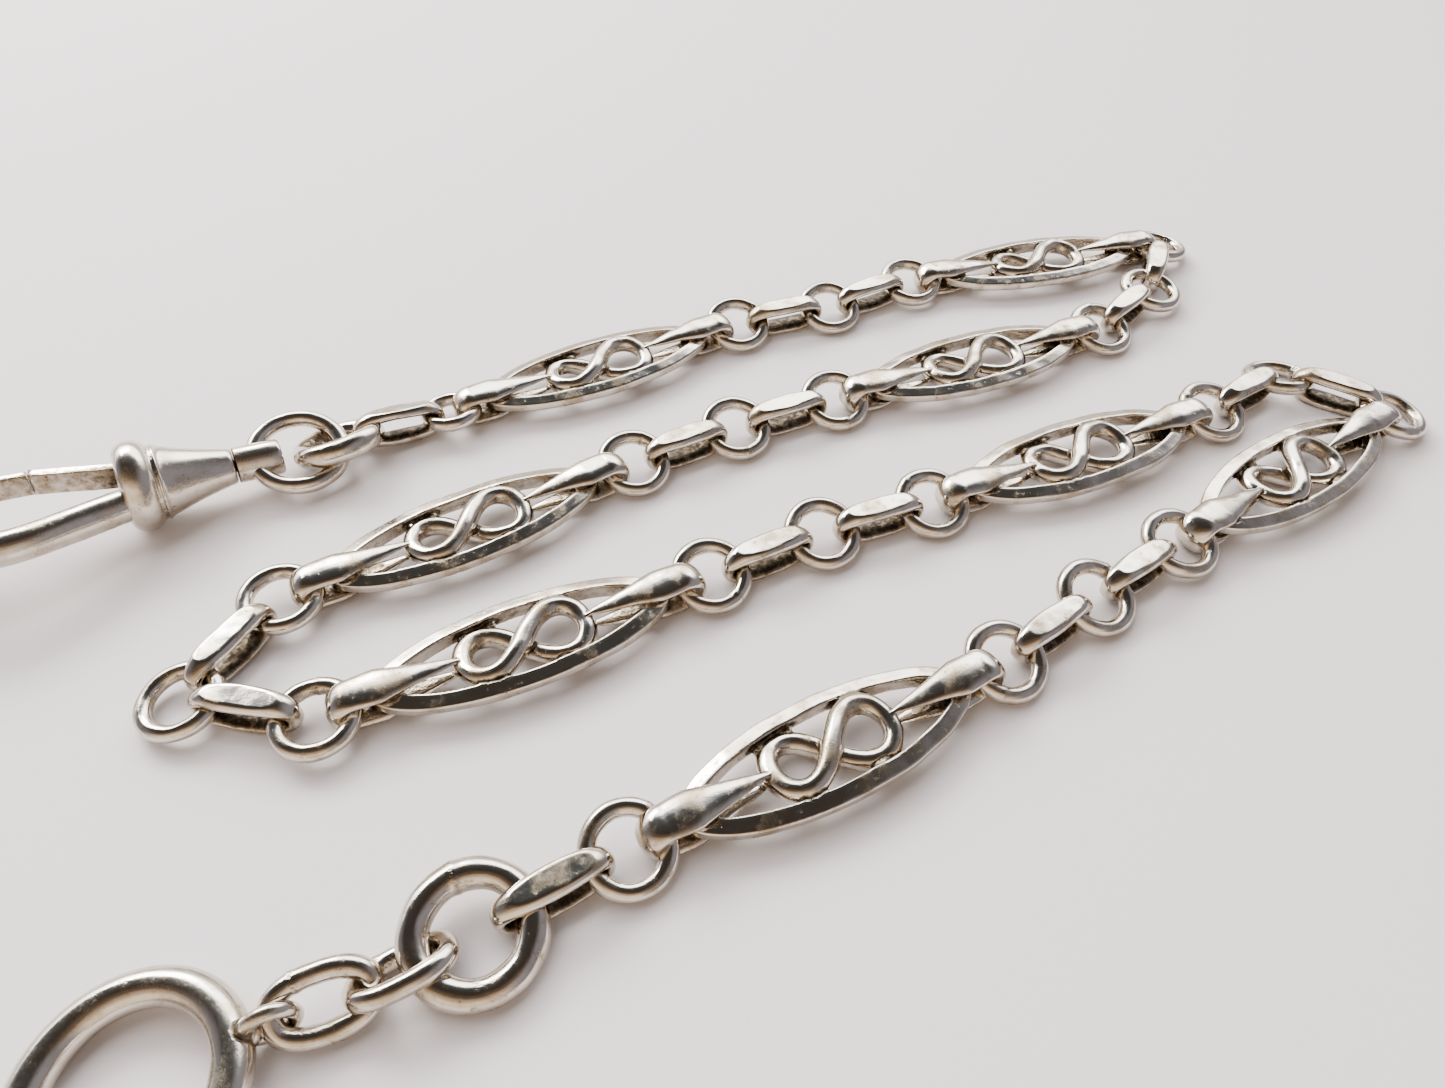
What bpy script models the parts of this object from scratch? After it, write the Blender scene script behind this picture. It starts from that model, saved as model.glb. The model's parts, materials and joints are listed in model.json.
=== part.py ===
"""Pocket watch chain, laid out on a table, as an assembly of separate pieces.

Metres, +Z up, the table top is z = 0. The chain is threaded link by link from its root connector:
each rigid link has an eye at both ends, and each ring joins two eyes. A dog clip ends one side of
the chain, and a bolt ring ends the other side.
"""

import math

import bpy
from mathutils import Matrix, Vector

# Small rings: they join every rigid link.
RING_D = 0.0062
RING_WIRE = 0.00105
END_RING_D = 0.0054  # the one small ring next to the dog clip
# Rings at the clip end and at the bolt-ring end.
SWIVEL_RING_D = 0.0084
SWIVEL_RING_WIRE = 0.0011
HEAVY_RING_LENGTH = 0.0082
HEAVY_RING_WIDTH = 0.0072
HEAVY_RING_WIRE = 0.0016
BIG_RING_D = 0.0085
BIG_RING_WIRE = 0.0015
TRACE_LENGTH = 0.0066
TRACE_WIDTH = 0.0045
TRACE_WIRE = 0.0011
# Fits: the ring wire runs in an eye with this much room behind it and on each side of it.
EYE_PLAY = 0.00015
SIDE_PLAY = 0.00038
FIT_GAP = 0.00025  # between two pieces that touch or slide
# Connectors: oblong links standing on edge.
CONNECTOR_PITCH = 0.0046  # eye to eye
CONNECTOR_END = 0.00095  # metal beyond the hole
CONNECTOR_WALL = 0.000595  # metal above and below the hole
CONNECTOR_WIDTH = 0.0018
# Marquise links: a boat-shaped rim with a figure eight and two spear loops soldered in.
MARQUISE_PITCH = 0.0241  # eye to eye
RIM_WIDTH = 0.0078
RIM_POINT = 0.0131  # where the two sides of the rim would meet
RIM_WALL = 0.0009
RIM_HEIGHT = 0.0015
RIM_TO_EYE = 0.0010  # from the blunt end of the rim to the eye's centre
EIGHT_WIRE = 0.00095
EIGHT_LENGTH = 0.0106
EIGHT_WIDTH = 0.0049
SPEAR_WIRE = 0.0008  # thickness of a spear's arm
SPEAR_END = 0.0012  # thickness of its rounded outer end
SPEAR_TIP = 0.0003
SPEAR_BREADTH = 1.6  # breadth of the spear over its thickness
SPEAR_TIP_X = 0.0044
# Dog clip.
BEAD_R = 0.00365
BEAD_TUBE_R = 0.00105
CONE_R = 0.0027
CONE_END_R = 0.00145
CONE_LENGTH = 0.0059
MOUTH_R = 0.00305  # inside of the bead, where the hook goes in
BORE_DEPTH = 0.0050
STEM_LENGTH = 0.0037
STEM_R = 0.0014
STEM_EYE = 0.0014  # from the cone to the centre of the stem's cross hole
PIN_R = 0.0005
PIN_HEAD_R = 0.0010
HOOK_WIRE = 0.0021
HOOK_LENGTH = 0.0165
HOOK_SPREAD = 0.0039  # from the clip's axis to the middle of the fixed leg
HOOK_ROOT = 0.0018  # from the clip's axis to the middle of the leg inside the bead
NOSE = 0.0032  # from the clip's axis to the middle of the hook's nose
GATE_LENGTH = 0.0070
GATE_THICK = 0.0008
GATE_DEPTH = 0.0019
GATE_BEND = 0.0012  # where the gate leaves the bead
GATE_PIN_R = 0.0003
GATE_PIN_SEAT = 0.00165  # from the clip's axis to the gate's pin
GATE_EYE_R = 0.0008
GATE_PIN_GAP = 0.00012
SEAM = 0.0003  # between the gate's end and the nose
# Bolt ring.
BOLT_R = 0.0053  # to the middle of its tube
BOLT_TUBE_R = 0.00103
BOLT_BORE_R = 0.00066
TONGUE_R = 0.00042
BOLT_GAP = 52.0  # degrees of the ring that the tongue closes
BOLT_GAP_AT = 205.0  # direction of the gap's middle, from the eyelet
TONGUE_TRAVEL = 54.0  # degrees that the tongue slides into the tube
TONGUE_START = 6.0  # degrees that the tongue reaches into the socket
TONGUE_END = 14.0  # degrees that the tongue reaches into the tube
KNOB_AT = 10.0  # degrees from the gap to the knob
KNOB_ROOM = 6.0  # degrees of slot on each side of the knob's centre
COIL_LENGTH = 42.0  # degrees of ring that the spring takes up
EYELET_R = 0.0013  # to the middle of its wire
EYELET_WIRE = 0.0009
KNOB_R = 0.00045
# Layout. The heading is the direction of each rigid link from the clip towards the bolt ring.
HEAVY_HEADING = 35.0
SWIVEL_HEADING = 27.0
CLIP_HEADING = 30.0
CLIP_SLOPE = -8.0
ROOT = 8  # the ninth connector stands at the origin
HEADINGS = (
    ("connector", 26.0),
    ("marquise", 28.0),
    ("connector", 19.0),
    ("connector", 28.0),
    ("marquise", 16.0),
    ("connector", -111.0),
    ("connector", -135.0),
    ("marquise", -157.0),
    ("connector", -156.0),
    ("connector", -152.0),
    ("marquise", -149.0),
    ("connector", -116.0),
    ("connector", -9.0),
    ("marquise", 26.0),
    ("connector", 27.0),
    ("connector", 21.0),
    ("marquise", 24.0),
    ("connector", 34.0),
    ("connector", -33.0),
    ("marquise", -146.0),
    ("connector", -145.0),
    ("connector", -143.0),
    ("marquise", -151.0),
    ("connector", -149.0),
)
# How far each small ring's near side leans down; the rings in the sharp turns lean outwards.
LEANS = (-6, 20, 19, 14, 10, 10, 17, 20, 20, 20, 6, 8, 4, 18, 20, 20, 19, 14, 10, 14, 20, 20, 20)
SHARP_TURN = 60.0
# The clip's end: the first connector rises towards the heavy ring, and both are rolled.
FIRST_RISE = 5.0
FIRST_ROLL = -18.0
HEAVY_ROLL = -24.0
SWIVEL_LEAN = 14.0
HEAVY_CROSSING = -0.0004  # where the swivel ring crosses the heavy ring, behind its centre
# The bolt ring's end: the two trace links are rolled opposite ways.
BIG_RING_LEAN = 12.0
BIG_RING_SLACK = 0.0006  # how far the big ring lies inside the last connector's eye
TRACE_HEADINGS = (-150.0, -158.0)
TRACE_ROLLS = (36.0, -34.0)
TRACE_RISE = 3.5  # of the second trace link, towards the bolt ring's eyelet
TRACE_SLACK = 0.0006
BOLT_HEADING = -153.0

EYE_Z = SIDE_PLAY + RING_WIRE / 2 + CONNECTOR_WALL
CONNECTOR_HEIGHT = 2 * EYE_Z
CONNECTOR_LENGTH = CONNECTOR_PITCH + RING_WIRE + 2 * (EYE_PLAY + CONNECTOR_END)
RING_R = (RING_D - RING_WIRE) / 2
END_RING_R = (END_RING_D - RING_WIRE) / 2
SWIVEL_R = (SWIVEL_RING_D - SWIVEL_RING_WIRE) / 2
BIG_R = (BIG_RING_D - BIG_RING_WIRE) / 2
EYELET_OUT = BOLT_TUBE_R + EYELET_R - EYELET_WIRE / 2
UP = Vector((0, 0, 1))


def clear_scene():
    for obj in list(bpy.data.objects):
        bpy.data.objects.remove(obj)


def new_collection(name, hidden=False):
    made = bpy.data.collections.new(name)
    made.hide_render = hidden
    bpy.context.scene.collection.children.link(made)
    return made


def new_material(name, colour, roughness):
    made = bpy.data.materials.new(name)
    made.use_nodes = True
    shader = made.node_tree.nodes["Principled BSDF"]
    shader.inputs["Base Color"].default_value = (*colour, 1)
    shader.inputs["Metallic"].default_value = 1.0
    shader.inputs["Roughness"].default_value = roughness
    return made


def baked(obj):
    """The evaluated mesh of an object, as a mesh of its own."""
    graph = bpy.context.evaluated_depsgraph_get()
    return bpy.data.meshes.new_from_object(obj.evaluated_get(graph))


def helper(name, data, tools):
    obj = bpy.data.objects.new("tool_" + name, data)
    obj.hide_render = True
    obj.display_type = "WIRE"
    tools.objects.link(obj)
    return obj


def wire(name, points, radius, tools, closed=False, shares=None, sides=1, breadth=1.0):
    """A round wire along the points. shares scales its radius at each point."""
    curve = bpy.data.curves.new(name, "CURVE")
    curve.dimensions = "3D"
    curve.bevel_depth = radius
    curve.bevel_resolution = sides
    curve.use_fill_caps = not closed
    spline = curve.splines.new("POLY")
    spline.points.add(len(points) - 1)
    spline.use_cyclic_u = closed
    for i, (point, place) in enumerate(zip(spline.points, points)):
        point.co = (*place, 1)
        point.radius = shares[i] if shares else 1.0
    guide = helper(name + "_guide", curve, tools)
    obj = helper(name, baked(guide), tools)
    bpy.data.objects.remove(guide)
    obj.data.transform(Matrix.Diagonal((1, breadth, 1, 1)))
    weld = obj.modifiers.new("Weld", "WELD")
    weld.merge_threshold = 0.000001
    return obj


def prism(name, outline, height, tools):
    """The outline, in the XY plane, as a solid from -height / 2 to height / 2."""
    count = len(outline)
    low = [(x, y, -height / 2) for x, y in outline]
    high = [(x, y, height / 2) for x, y in outline]
    sides = [(i, (i + 1) % count, count + (i + 1) % count, count + i) for i in range(count)]
    caps = [tuple(reversed(range(count))), tuple(range(count, 2 * count))]
    mesh = bpy.data.meshes.new(name)
    mesh.from_pydata(low + high, [], sides + caps)
    return helper(name, mesh, tools)


def lathe(name, profile, steps, tools):
    """The profile's (x, r) points turned about the X axis, as one closed skin."""
    vertices = []
    faces = []
    for x, r in profile:
        for k in range(steps):
            turn = 2 * math.pi * k / steps
            vertices.append((x, r * math.cos(turn), r * math.sin(turn)))
    rows = len(profile)
    for i in range(rows):
        for k in range(steps):
            a = i * steps + k
            b = i * steps + (k + 1) % steps
            c = ((i + 1) % rows) * steps + (k + 1) % steps
            d = ((i + 1) % rows) * steps + k
            faces.append((a, d, c, b))
    mesh = bpy.data.meshes.new(name)
    mesh.from_pydata(vertices, [], faces)
    return helper(name, mesh, tools)


def combine(target, other, operation):
    cut = target.modifiers.new(operation.title(), "BOOLEAN")
    cut.operation = operation
    cut.solver = "EXACT"
    cut.object = other
    return target


def circle(radius, steps, squash=1.0):
    turns = [2 * math.pi * k / steps for k in range(steps)]
    return [Vector((radius * math.cos(t), squash * radius * math.sin(t), 0)) for t in turns]


def arc(radius, start, end, steps):
    turns = [math.radians(start + (end - start) * k / steps) for k in range(steps + 1)]
    return [Vector((radius * math.cos(t), radius * math.sin(t), 0)) for t in turns]


def oblong(length, height, radius, steps=2):
    """A rectangle with rounded corners, as (x, y) points."""
    points = []
    for corner, (sx, sy) in enumerate(((1, 1), (-1, 1), (-1, -1), (1, -1))):
        cx = sx * (length / 2 - radius)
        cy = sy * (height / 2 - radius)
        for k in range(steps + 1):
            turn = math.radians(90 * corner + 90 * k / steps)
            points.append((cx + radius * math.cos(turn), cy + radius * math.sin(turn)))
    return points


def upright(obj):
    """Turns a shape drawn in XY so that it stands in XZ."""
    obj.data.transform(Matrix.Rotation(math.radians(90), 4, "X"))
    return obj


def smooth(mesh, on=True):
    for face in mesh.polygons:
        face.use_smooth = on
    return mesh


def connector_mesh(tools):
    """An oblong link: lens-shaped from above, rounded from the side, with an oblong hole."""
    half = CONNECTOR_LENGTH / 2
    xs = [half * math.sin(math.radians(22.5 * k)) for k in range(-4, 5)]
    upper = [(x, CONNECTOR_WIDTH / 2 * max(0.0, 1 - (x / half) ** 2) ** 0.75) for x in xs]
    plan = [(x, -y) for x, y in upper] + [(x, y) for x, y in reversed(upper[1:-1])]
    body = prism("connector_plan", plan, CONNECTOR_HEIGHT, tools)
    side = prism("connector_side", oblong(CONNECTOR_LENGTH, CONNECTOR_HEIGHT, 0.0011), 0.01, tools)
    hole_length = CONNECTOR_PITCH + RING_WIRE + 2 * EYE_PLAY
    hole_height = CONNECTOR_HEIGHT - 2 * CONNECTOR_WALL
    hole = prism("connector_hole", oblong(hole_length, hole_height, 0.0007), 0.01, tools)
    combine(body, upright(side), "INTERSECT")
    combine(body, upright(hole), "DIFFERENCE")
    return baked(body)


def rim_outline(inset):
    """Half the plan of the rim, from its -X end to its +X end, on the +Y side."""
    end = MARQUISE_PITCH / 2 - RIM_TO_EYE - inset
    stations = [end * math.sin(math.radians(15 * k)) for k in range(-6, 7)]
    points = []
    for x in stations:
        y = RIM_WIDTH / 2 * (1 - (x / RIM_POINT) ** 2) - inset
        points.append((x, max(y, 0.0002)))
    return points


def marquise_mesh(tools):
    outer = rim_outline(0)
    inner = rim_outline(RIM_WALL)
    body = prism("rim", [(x, -y) for x, y in outer] + outer[::-1], RIM_HEIGHT, tools)
    cut = prism("rim_cut", [(x, -y) for x, y in inner] + inner[::-1], 2 * RIM_HEIGHT, tools)
    combine(body, cut, "DIFFERENCE")
    turns = [2 * math.pi * k / 20 for k in range(20)]
    reach = (EIGHT_LENGTH - EIGHT_WIRE) / 2
    eight = [
        Vector((
            reach * (0.87 * math.sin(t) - 0.13 * math.sin(3 * t)),
            EIGHT_WIDTH / 2 * math.sin(2 * t),
            0.35 * EIGHT_WIRE * math.cos(t),
        ))
        for t in turns
    ]
    combine(body, wire("eight", eight, EIGHT_WIRE / 2, tools, closed=True), "UNION")
    spear = spear_loop(tools)
    mirrored = helper("spear_other", spear.data.copy(), tools)
    mirrored.data.transform(Matrix.Rotation(math.pi, 4, "Z"))
    combine(body, spear, "UNION")
    combine(body, mirrored, "UNION")
    return baked(body)


def spear_loop(tools):
    """A U of wire standing on edge round the eye, both arms drawn out to a point."""
    gap = RING_WIRE / 2 + 0.6 * SIDE_PLAY
    bend = gap + SPEAR_WIRE / 2
    eye = MARQUISE_PITCH / 2
    tip = (SPEAR_TIP_X, 0, EIGHT_WIRE / 2 + 0.0001)
    upper = [Vector(tip), Vector((eye - 0.003, 0, bend - 0.0001)), Vector((eye, 0, bend))]
    round_end = []
    for k in range(1, 6):
        turn = math.radians(90 - 30 * k)
        out = RING_WIRE / 2 + EYE_PLAY + SPEAR_END / 2
        round_end.append(Vector((eye + out * math.cos(turn), 0, bend * math.sin(turn))))
    lower = [Vector((p.x, 0, -p.z)) for p in reversed(upper)]
    points = upper + round_end + lower
    arm = SPEAR_WIRE / SPEAR_END
    tipped = [2 * SPEAR_TIP / SPEAR_END, arm, arm]
    shares = tipped + [(1 + arm) / 2, 1, 1, 1, (1 + arm) / 2] + tipped[::-1]
    flat = SPEAR_BREADTH
    loop = wire("spear", points, SPEAR_END / 2, tools, shares=shares, breadth=flat)
    return helper("spear_loop", baked(loop), tools)


def ring_mesh(name, diameter, thickness, tools, squash=1.0, steps=16):
    """A closed ring of round wire, lying flat."""
    radius = (diameter - thickness) / 2
    return smooth(baked(wire(name, circle(radius, steps, squash), thickness / 2, tools, closed=True)))


def trace_mesh(tools):
    outline = oblong(TRACE_LENGTH - TRACE_WIRE, TRACE_WIDTH - TRACE_WIRE, 0.0016)
    points = [Vector((x, y, 0)) for x, y in outline]
    return smooth(baked(wire("trace", points, TRACE_WIRE / 2, tools, closed=True)))


def bell_mesh(tools):
    """The clip's body, turned about its axis: bead at x = 0, its mouth towards -X, cone towards +X."""
    bead = []
    for k in range(7):
        turn = math.radians(180 - 30 * k)
        x = BEAD_TUBE_R * math.cos(turn)
        bead.append((x, BEAD_R - BEAD_TUBE_R + BEAD_TUBE_R * math.sin(turn)))
    step = BEAD_TUBE_R
    profile = bead[1:-1]
    profile += [(step + 0.0001, CONE_R + 0.0004), (step + 0.0006, CONE_R + 0.0004), (step + 0.0007, CONE_R)]
    end = step + CONE_LENGTH
    profile += [(end - 0.0002, CONE_END_R), (end, CONE_END_R - 0.00015)]
    profile += [(end, PIN_R + FIT_GAP), (BORE_DEPTH, PIN_R + FIT_GAP), (BORE_DEPTH, 0.0012)]
    profile += [(step, MOUTH_R - 0.0002), (-0.9 * step, MOUTH_R)]
    body = lathe("bell", profile, 16, tools)
    chord = math.sqrt(MOUTH_R**2 - GATE_PIN_SEAT**2) + 0.0002
    ends = [Vector((0, GATE_PIN_SEAT, -chord)), Vector((0, GATE_PIN_SEAT, chord))]
    pin = wire("gate_pin", ends, GATE_PIN_R, tools, sides=2)
    return baked(combine(body, pin, "UNION"))


def hook_mesh(tools):
    """The fixed leg and the bowl of the hook, in the clip's XY plane, open on its +Y side."""
    bowl = (HOOK_SPREAD + NOSE) / 2
    middle = (NOSE - HOOK_SPREAD) / 2
    turn_x = -(HOOK_LENGTH - HOOK_WIRE / 2 - bowl)
    flare = HOOK_SPREAD - HOOK_ROOT
    points = [Vector((HOOK_WIRE / 4, -HOOK_ROOT, 0))]
    for share, x in ((0.08, 0.09), (0.4, 0.27), (0.85, 0.55), (1.0, 0.95)):
        points.append(Vector((x * turn_x, -HOOK_ROOT - share * flare, 0)))
    for k in range(1, 7):
        turn = math.radians(30 * k)
        place = Vector((turn_x - bowl * math.sin(turn), middle - bowl * math.cos(turn), 0))
        points.append(place)
    points.append(Vector((-(GATE_LENGTH + SEAM), NOSE, 0)))
    shares = [0.92] + [1.0] * (len(points) - 2) + [0.95]
    return smooth(baked(wire("hook", points, HOOK_WIRE / 2, tools, shares=shares, sides=2)))


def gate_mesh(tools):
    """The flat strip that closes the hook, from its pin in the bell's mouth to the nose."""
    half = GATE_THICK / 2
    seat = GATE_PIN_SEAT
    line = [(half, seat), (-GATE_BEND, seat + half / 2), (-GATE_LENGTH, NOSE)]
    outline = [(x, y + half) for x, y in line] + [(x, y - half) for x, y in line[::-1]]
    strip = prism("gate_strip", outline, GATE_DEPTH, tools)
    eye_outline = [(p.x, seat + p.y) for p in circle(GATE_EYE_R, 10)]
    hole_outline = [(p.x, seat + p.y) for p in circle(GATE_PIN_R + GATE_PIN_GAP, 10)]
    combine(strip, prism("gate_eye", eye_outline, GATE_DEPTH, tools), "UNION")
    combine(strip, prism("gate_hole", hole_outline, 2 * GATE_DEPTH, tools), "DIFFERENCE")
    return baked(strip)


def gate_spring_mesh(tools):
    """A leaf spring inside the bell that holds the gate against the nose."""
    under = GATE_PIN_SEAT - GATE_EYE_R - FIT_GAP
    back = BORE_DEPTH - 0.0018
    thick = 0.0003
    line = [(-0.0010, under), (0.0014, thick), (back, 0.0)]
    outline = [(x, y - thick) for x, y in line] + line[::-1]
    return baked(prism("spring_strip", outline, 0.0011, tools))


def stem_mesh(tools):
    """The swivel stem: x = 0 at the cone's face, a cross hole for the ring, a headed pin inside."""
    inside = -(BEAD_TUBE_R + CONE_LENGTH - BORE_DEPTH)
    profile = [
        (inside - 2 * FIT_GAP - 0.0005, 0.00002),
        (inside - 2 * FIT_GAP - 0.0005, PIN_HEAD_R),
        (inside - 2 * FIT_GAP, PIN_HEAD_R),
        (inside - 2 * FIT_GAP, PIN_R),
        (FIT_GAP, PIN_R),
        (FIT_GAP, STEM_R - 0.0001),
        (FIT_GAP + 0.0002, STEM_R),
        (STEM_LENGTH - 0.0003, STEM_R),
        (STEM_LENGTH, STEM_R - 0.0004),
        (STEM_LENGTH, 0.00002),
    ]
    stem = lathe("stem", profile, 12, tools)
    bow = STEM_R**2 / (2 * SWIVEL_R)  # how far the ring curves inside the hole
    bore = SWIVEL_RING_WIRE + 2 * EYE_PLAY
    outline = [(STEM_EYE + bow / 2 + x, y) for x, y in oblong(bore + bow, bore, 0.45 * bore)]
    hole = prism("stem_hole", outline, 0.01, tools)
    return baked(combine(stem, upright(hole), "DIFFERENCE"))


def bolt_tube_mesh(tools):
    """A hollow tube bent round, open at its gap, with a slot for the knob and a soldered eyelet."""
    start = BOLT_GAP_AT + BOLT_GAP / 2
    end = BOLT_GAP_AT - BOLT_GAP / 2 + 360
    bore_end = start + TONGUE_END + TONGUE_TRAVEL + COIL_LENGTH + 10
    tube = wire("tube", arc(BOLT_R, start, end, 22), BOLT_TUBE_R, tools, sides=2)
    bore = wire("bore", arc(BOLT_R, start - 4, bore_end, 12), BOLT_BORE_R, tools)
    socket = wire("socket", arc(BOLT_R, end - TONGUE_START - 6, end + 4, 3), BOLT_BORE_R, tools)
    slot_start = start + KNOB_AT - KNOB_ROOM
    slot_end = start + KNOB_AT + TONGUE_TRAVEL + KNOB_ROOM
    slot_arc = arc(BOLT_R + 0.003, slot_start, slot_end, 7) + arc(BOLT_R, slot_end, slot_start, 7)
    slot = prism("slot", [(p.x, p.y) for p in slot_arc], 2 * KNOB_R + 2 * FIT_GAP, tools)
    ring = [Vector((p.x, 0, p.y)) for p in circle(EYELET_R, 12)]
    eyelet = wire("eyelet", ring, EYELET_WIRE / 2, tools, closed=True)
    eyelet.data.transform(Matrix.Translation((BOLT_R + EYELET_OUT, 0, 0)))
    combine(tube, bore, "DIFFERENCE")
    combine(tube, socket, "DIFFERENCE")
    combine(tube, slot, "DIFFERENCE")
    combine(tube, eyelet, "UNION")
    return baked(tube)


def tongue_mesh(tools):
    """The sliding tongue: it closes the gap and reaches into the tube, with its thumb knob."""
    start = BOLT_GAP_AT - BOLT_GAP / 2 - TONGUE_START
    end = BOLT_GAP_AT + BOLT_GAP / 2
    rod = wire("tongue", arc(BOLT_R, start, end + TONGUE_END, 9), TONGUE_R, tools)
    way = heading(end + KNOB_AT)
    stud = [way * BOLT_R, way * (BOLT_R + BOLT_TUBE_R + 0.0007)]
    return baked(combine(rod, wire("knob", stud, KNOB_R, tools), "UNION"))


def bolt_spring_mesh(tools):
    """The spring behind the tongue, as a smooth rod of the coil's outer size, fully compressed."""
    start = BOLT_GAP_AT + BOLT_GAP / 2 + TONGUE_END + TONGUE_TRAVEL + 4
    coil = wire("coil", arc(BOLT_R, start, start + COIL_LENGTH, 6), TONGUE_R, tools)
    return smooth(baked(coil))


def heading(degrees):
    return Vector((math.cos(math.radians(degrees)), math.sin(math.radians(degrees)), 0))


def frame_matrix(place, along, across):
    """A frame at a place, its X along one way and its Y as near as can be to another."""
    x = along.normalized()
    z = x.cross(across).normalized()
    y = z.cross(x)
    made = Matrix((x, y, z)).transposed().to_4x4()
    made.translation = place
    return made


def rising(degrees, rise):
    return heading(degrees) * math.cos(math.radians(rise)) + UP * math.sin(math.radians(rise))


def link_matrix(place, degrees, roll=0.0, rise=0.0):
    along = rising(degrees, rise)
    return frame_matrix(place, along, UP.cross(along)) @ Matrix.Rotation(math.radians(roll), 4, "X")


def ring_pose(eye, before, after, radius, lean):
    """(matrix, next eye) of a ring that joins two links. It leans about the line from eye to eye."""
    turn = (after - before + 180) % 360 - 180
    half = math.radians(abs(turn) / 2)
    chord = heading(before + turn / 2)
    outer = chord.cross(UP) if turn > 0 else UP.cross(chord)
    near = chord.cross(UP) if chord.x > 0 else UP.cross(chord)
    down = outer if abs(turn) > SHARP_TURN else near
    low = down * math.cos(math.radians(lean)) - UP * math.sin(math.radians(lean))
    away = low if down.dot(outer) > 0 else -low
    next_eye = eye + 2 * radius * math.cos(half) * chord
    centre = (eye + next_eye) / 2 + radius * math.sin(half) * away
    return frame_matrix(centre, chord, low), next_eye


def add(name, mesh, place, material, home):
    obj = bpy.data.objects.new(name, mesh)
    obj.matrix_world = place
    obj.data.materials.clear()
    obj.data.materials.append(material)
    home.objects.link(obj)
    return obj


def walk(start_eye, first_heading, steps, home, meshes, metal, forward):
    """Places rings and rigid links one after another from an eye, and returns the last eye."""
    eye = start_eye
    before = first_heading
    flip = 0.0 if forward else 180.0
    for ring_name, radius, lean, link_name, kind, degrees in steps:
        place, eye = ring_pose(eye, before + flip, degrees + flip, radius, lean)
        mesh = meshes["end_ring"] if radius == END_RING_R else meshes["ring"]
        add(ring_name, mesh, place, metal, home)
        if link_name is None:
            continue
        pitch = CONNECTOR_PITCH if kind == "connector" else MARQUISE_PITCH
        first = link_name == "connector_01"
        rise = FIRST_RISE if first else 0.0
        along = rising(degrees + flip, rise)
        place = link_matrix(eye + along * pitch / 2, degrees, FIRST_ROLL if first else 0.0, -rise)
        add(link_name, meshes[kind], place, metal, home)
        eye = eye + along * pitch
        before = degrees
    return eye


def named_links():
    """The rigid links in order from the clip: (name, kind, heading)."""
    counts = {"connector": 0, "marquise": 0}
    made = []
    for kind, degrees in HEADINGS:
        counts[kind] += 1
        made.append((f"{kind}_{counts[kind]:02d}", kind, degrees))
    return made


def lay_chain(home, meshes, metal):
    """Places every link, small ring and connector. Returns the eyes at both ends of the chain."""
    links = named_links()
    root = [i for i, link in enumerate(links) if link[0] == f"connector_{ROOT + 1:02d}"][0]
    name, kind, degrees = links[root]
    middle = Vector((0, 0, EYE_Z))
    add(name, meshes[kind], link_matrix(middle, degrees), metal, home)
    reach = heading(degrees) * CONNECTOR_PITCH / 2
    onward = []
    for i in range(root + 1, len(links)):
        onward.append((f"small_ring_{i:02d}", RING_R, LEANS[i - 1], *links[i]))
    tail = walk(middle + reach, degrees, onward, home, meshes, metal, True)
    back = []
    for i in range(root - 1, -1, -1):
        radius = END_RING_R if i == 0 else RING_R
        back.append((f"small_ring_{i + 1:02d}", radius, LEANS[i], *links[i]))
    head = walk(middle - reach, degrees, back, home, meshes, metal, False)
    return head, tail


def lay_bolt_end(eye, home, meshes, metal, plate):
    """The big ring, the two trace links and the bolt ring after the last connector."""
    last = HEADINGS[-1][1]
    eye = eye - heading(last) * ((BIG_RING_WIRE - RING_WIRE) / 2 + BIG_RING_SLACK)
    place, eye = ring_pose(eye, last, TRACE_HEADINGS[0], BIG_R, BIG_RING_LEAN)
    add("big_ring", meshes["big_ring"], place, metal, home)
    half = (TRACE_LENGTH - TRACE_WIRE) / 2
    in_eye = (TRACE_WIRE + BIG_RING_WIRE) / 2 + EYE_PLAY + TRACE_SLACK
    middle = eye + heading(TRACE_HEADINGS[0]) * (half - in_eye)
    place = link_matrix(middle, TRACE_HEADINGS[0], TRACE_ROLLS[0])
    add("trace_link_01", meshes["trace"], place, metal, home)
    crossing = middle + heading(TRACE_HEADINGS[0]) * (half - TRACE_WIRE - EYE_PLAY)
    along = rising(TRACE_HEADINGS[1], TRACE_RISE)
    middle = crossing + along * half
    place = link_matrix(middle, TRACE_HEADINGS[1], TRACE_ROLLS[1], TRACE_RISE)
    add("trace_link_02", meshes["trace"], place, metal, home)
    crossing = middle + along * (half - (TRACE_WIRE + EYELET_WIRE) / 2 - EYE_PLAY - 0.0001)
    eyelet = crossing + heading(BOLT_HEADING) * EYELET_R
    out = BOLT_R + EYELET_OUT
    drop = math.asin((eyelet.z - BOLT_TUBE_R) / (out + BOLT_R))
    along = -heading(BOLT_HEADING) * math.cos(drop) + UP * math.sin(drop)
    ring = frame_matrix(eyelet - along * out, along, UP.cross(along))
    add("bolt_ring_tube", meshes["tube"], ring, metal, home)
    add("bolt_ring_tongue", meshes["tongue"], ring, metal, home)
    add("bolt_ring_spring", meshes["coil"], ring, plate, home)


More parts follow.
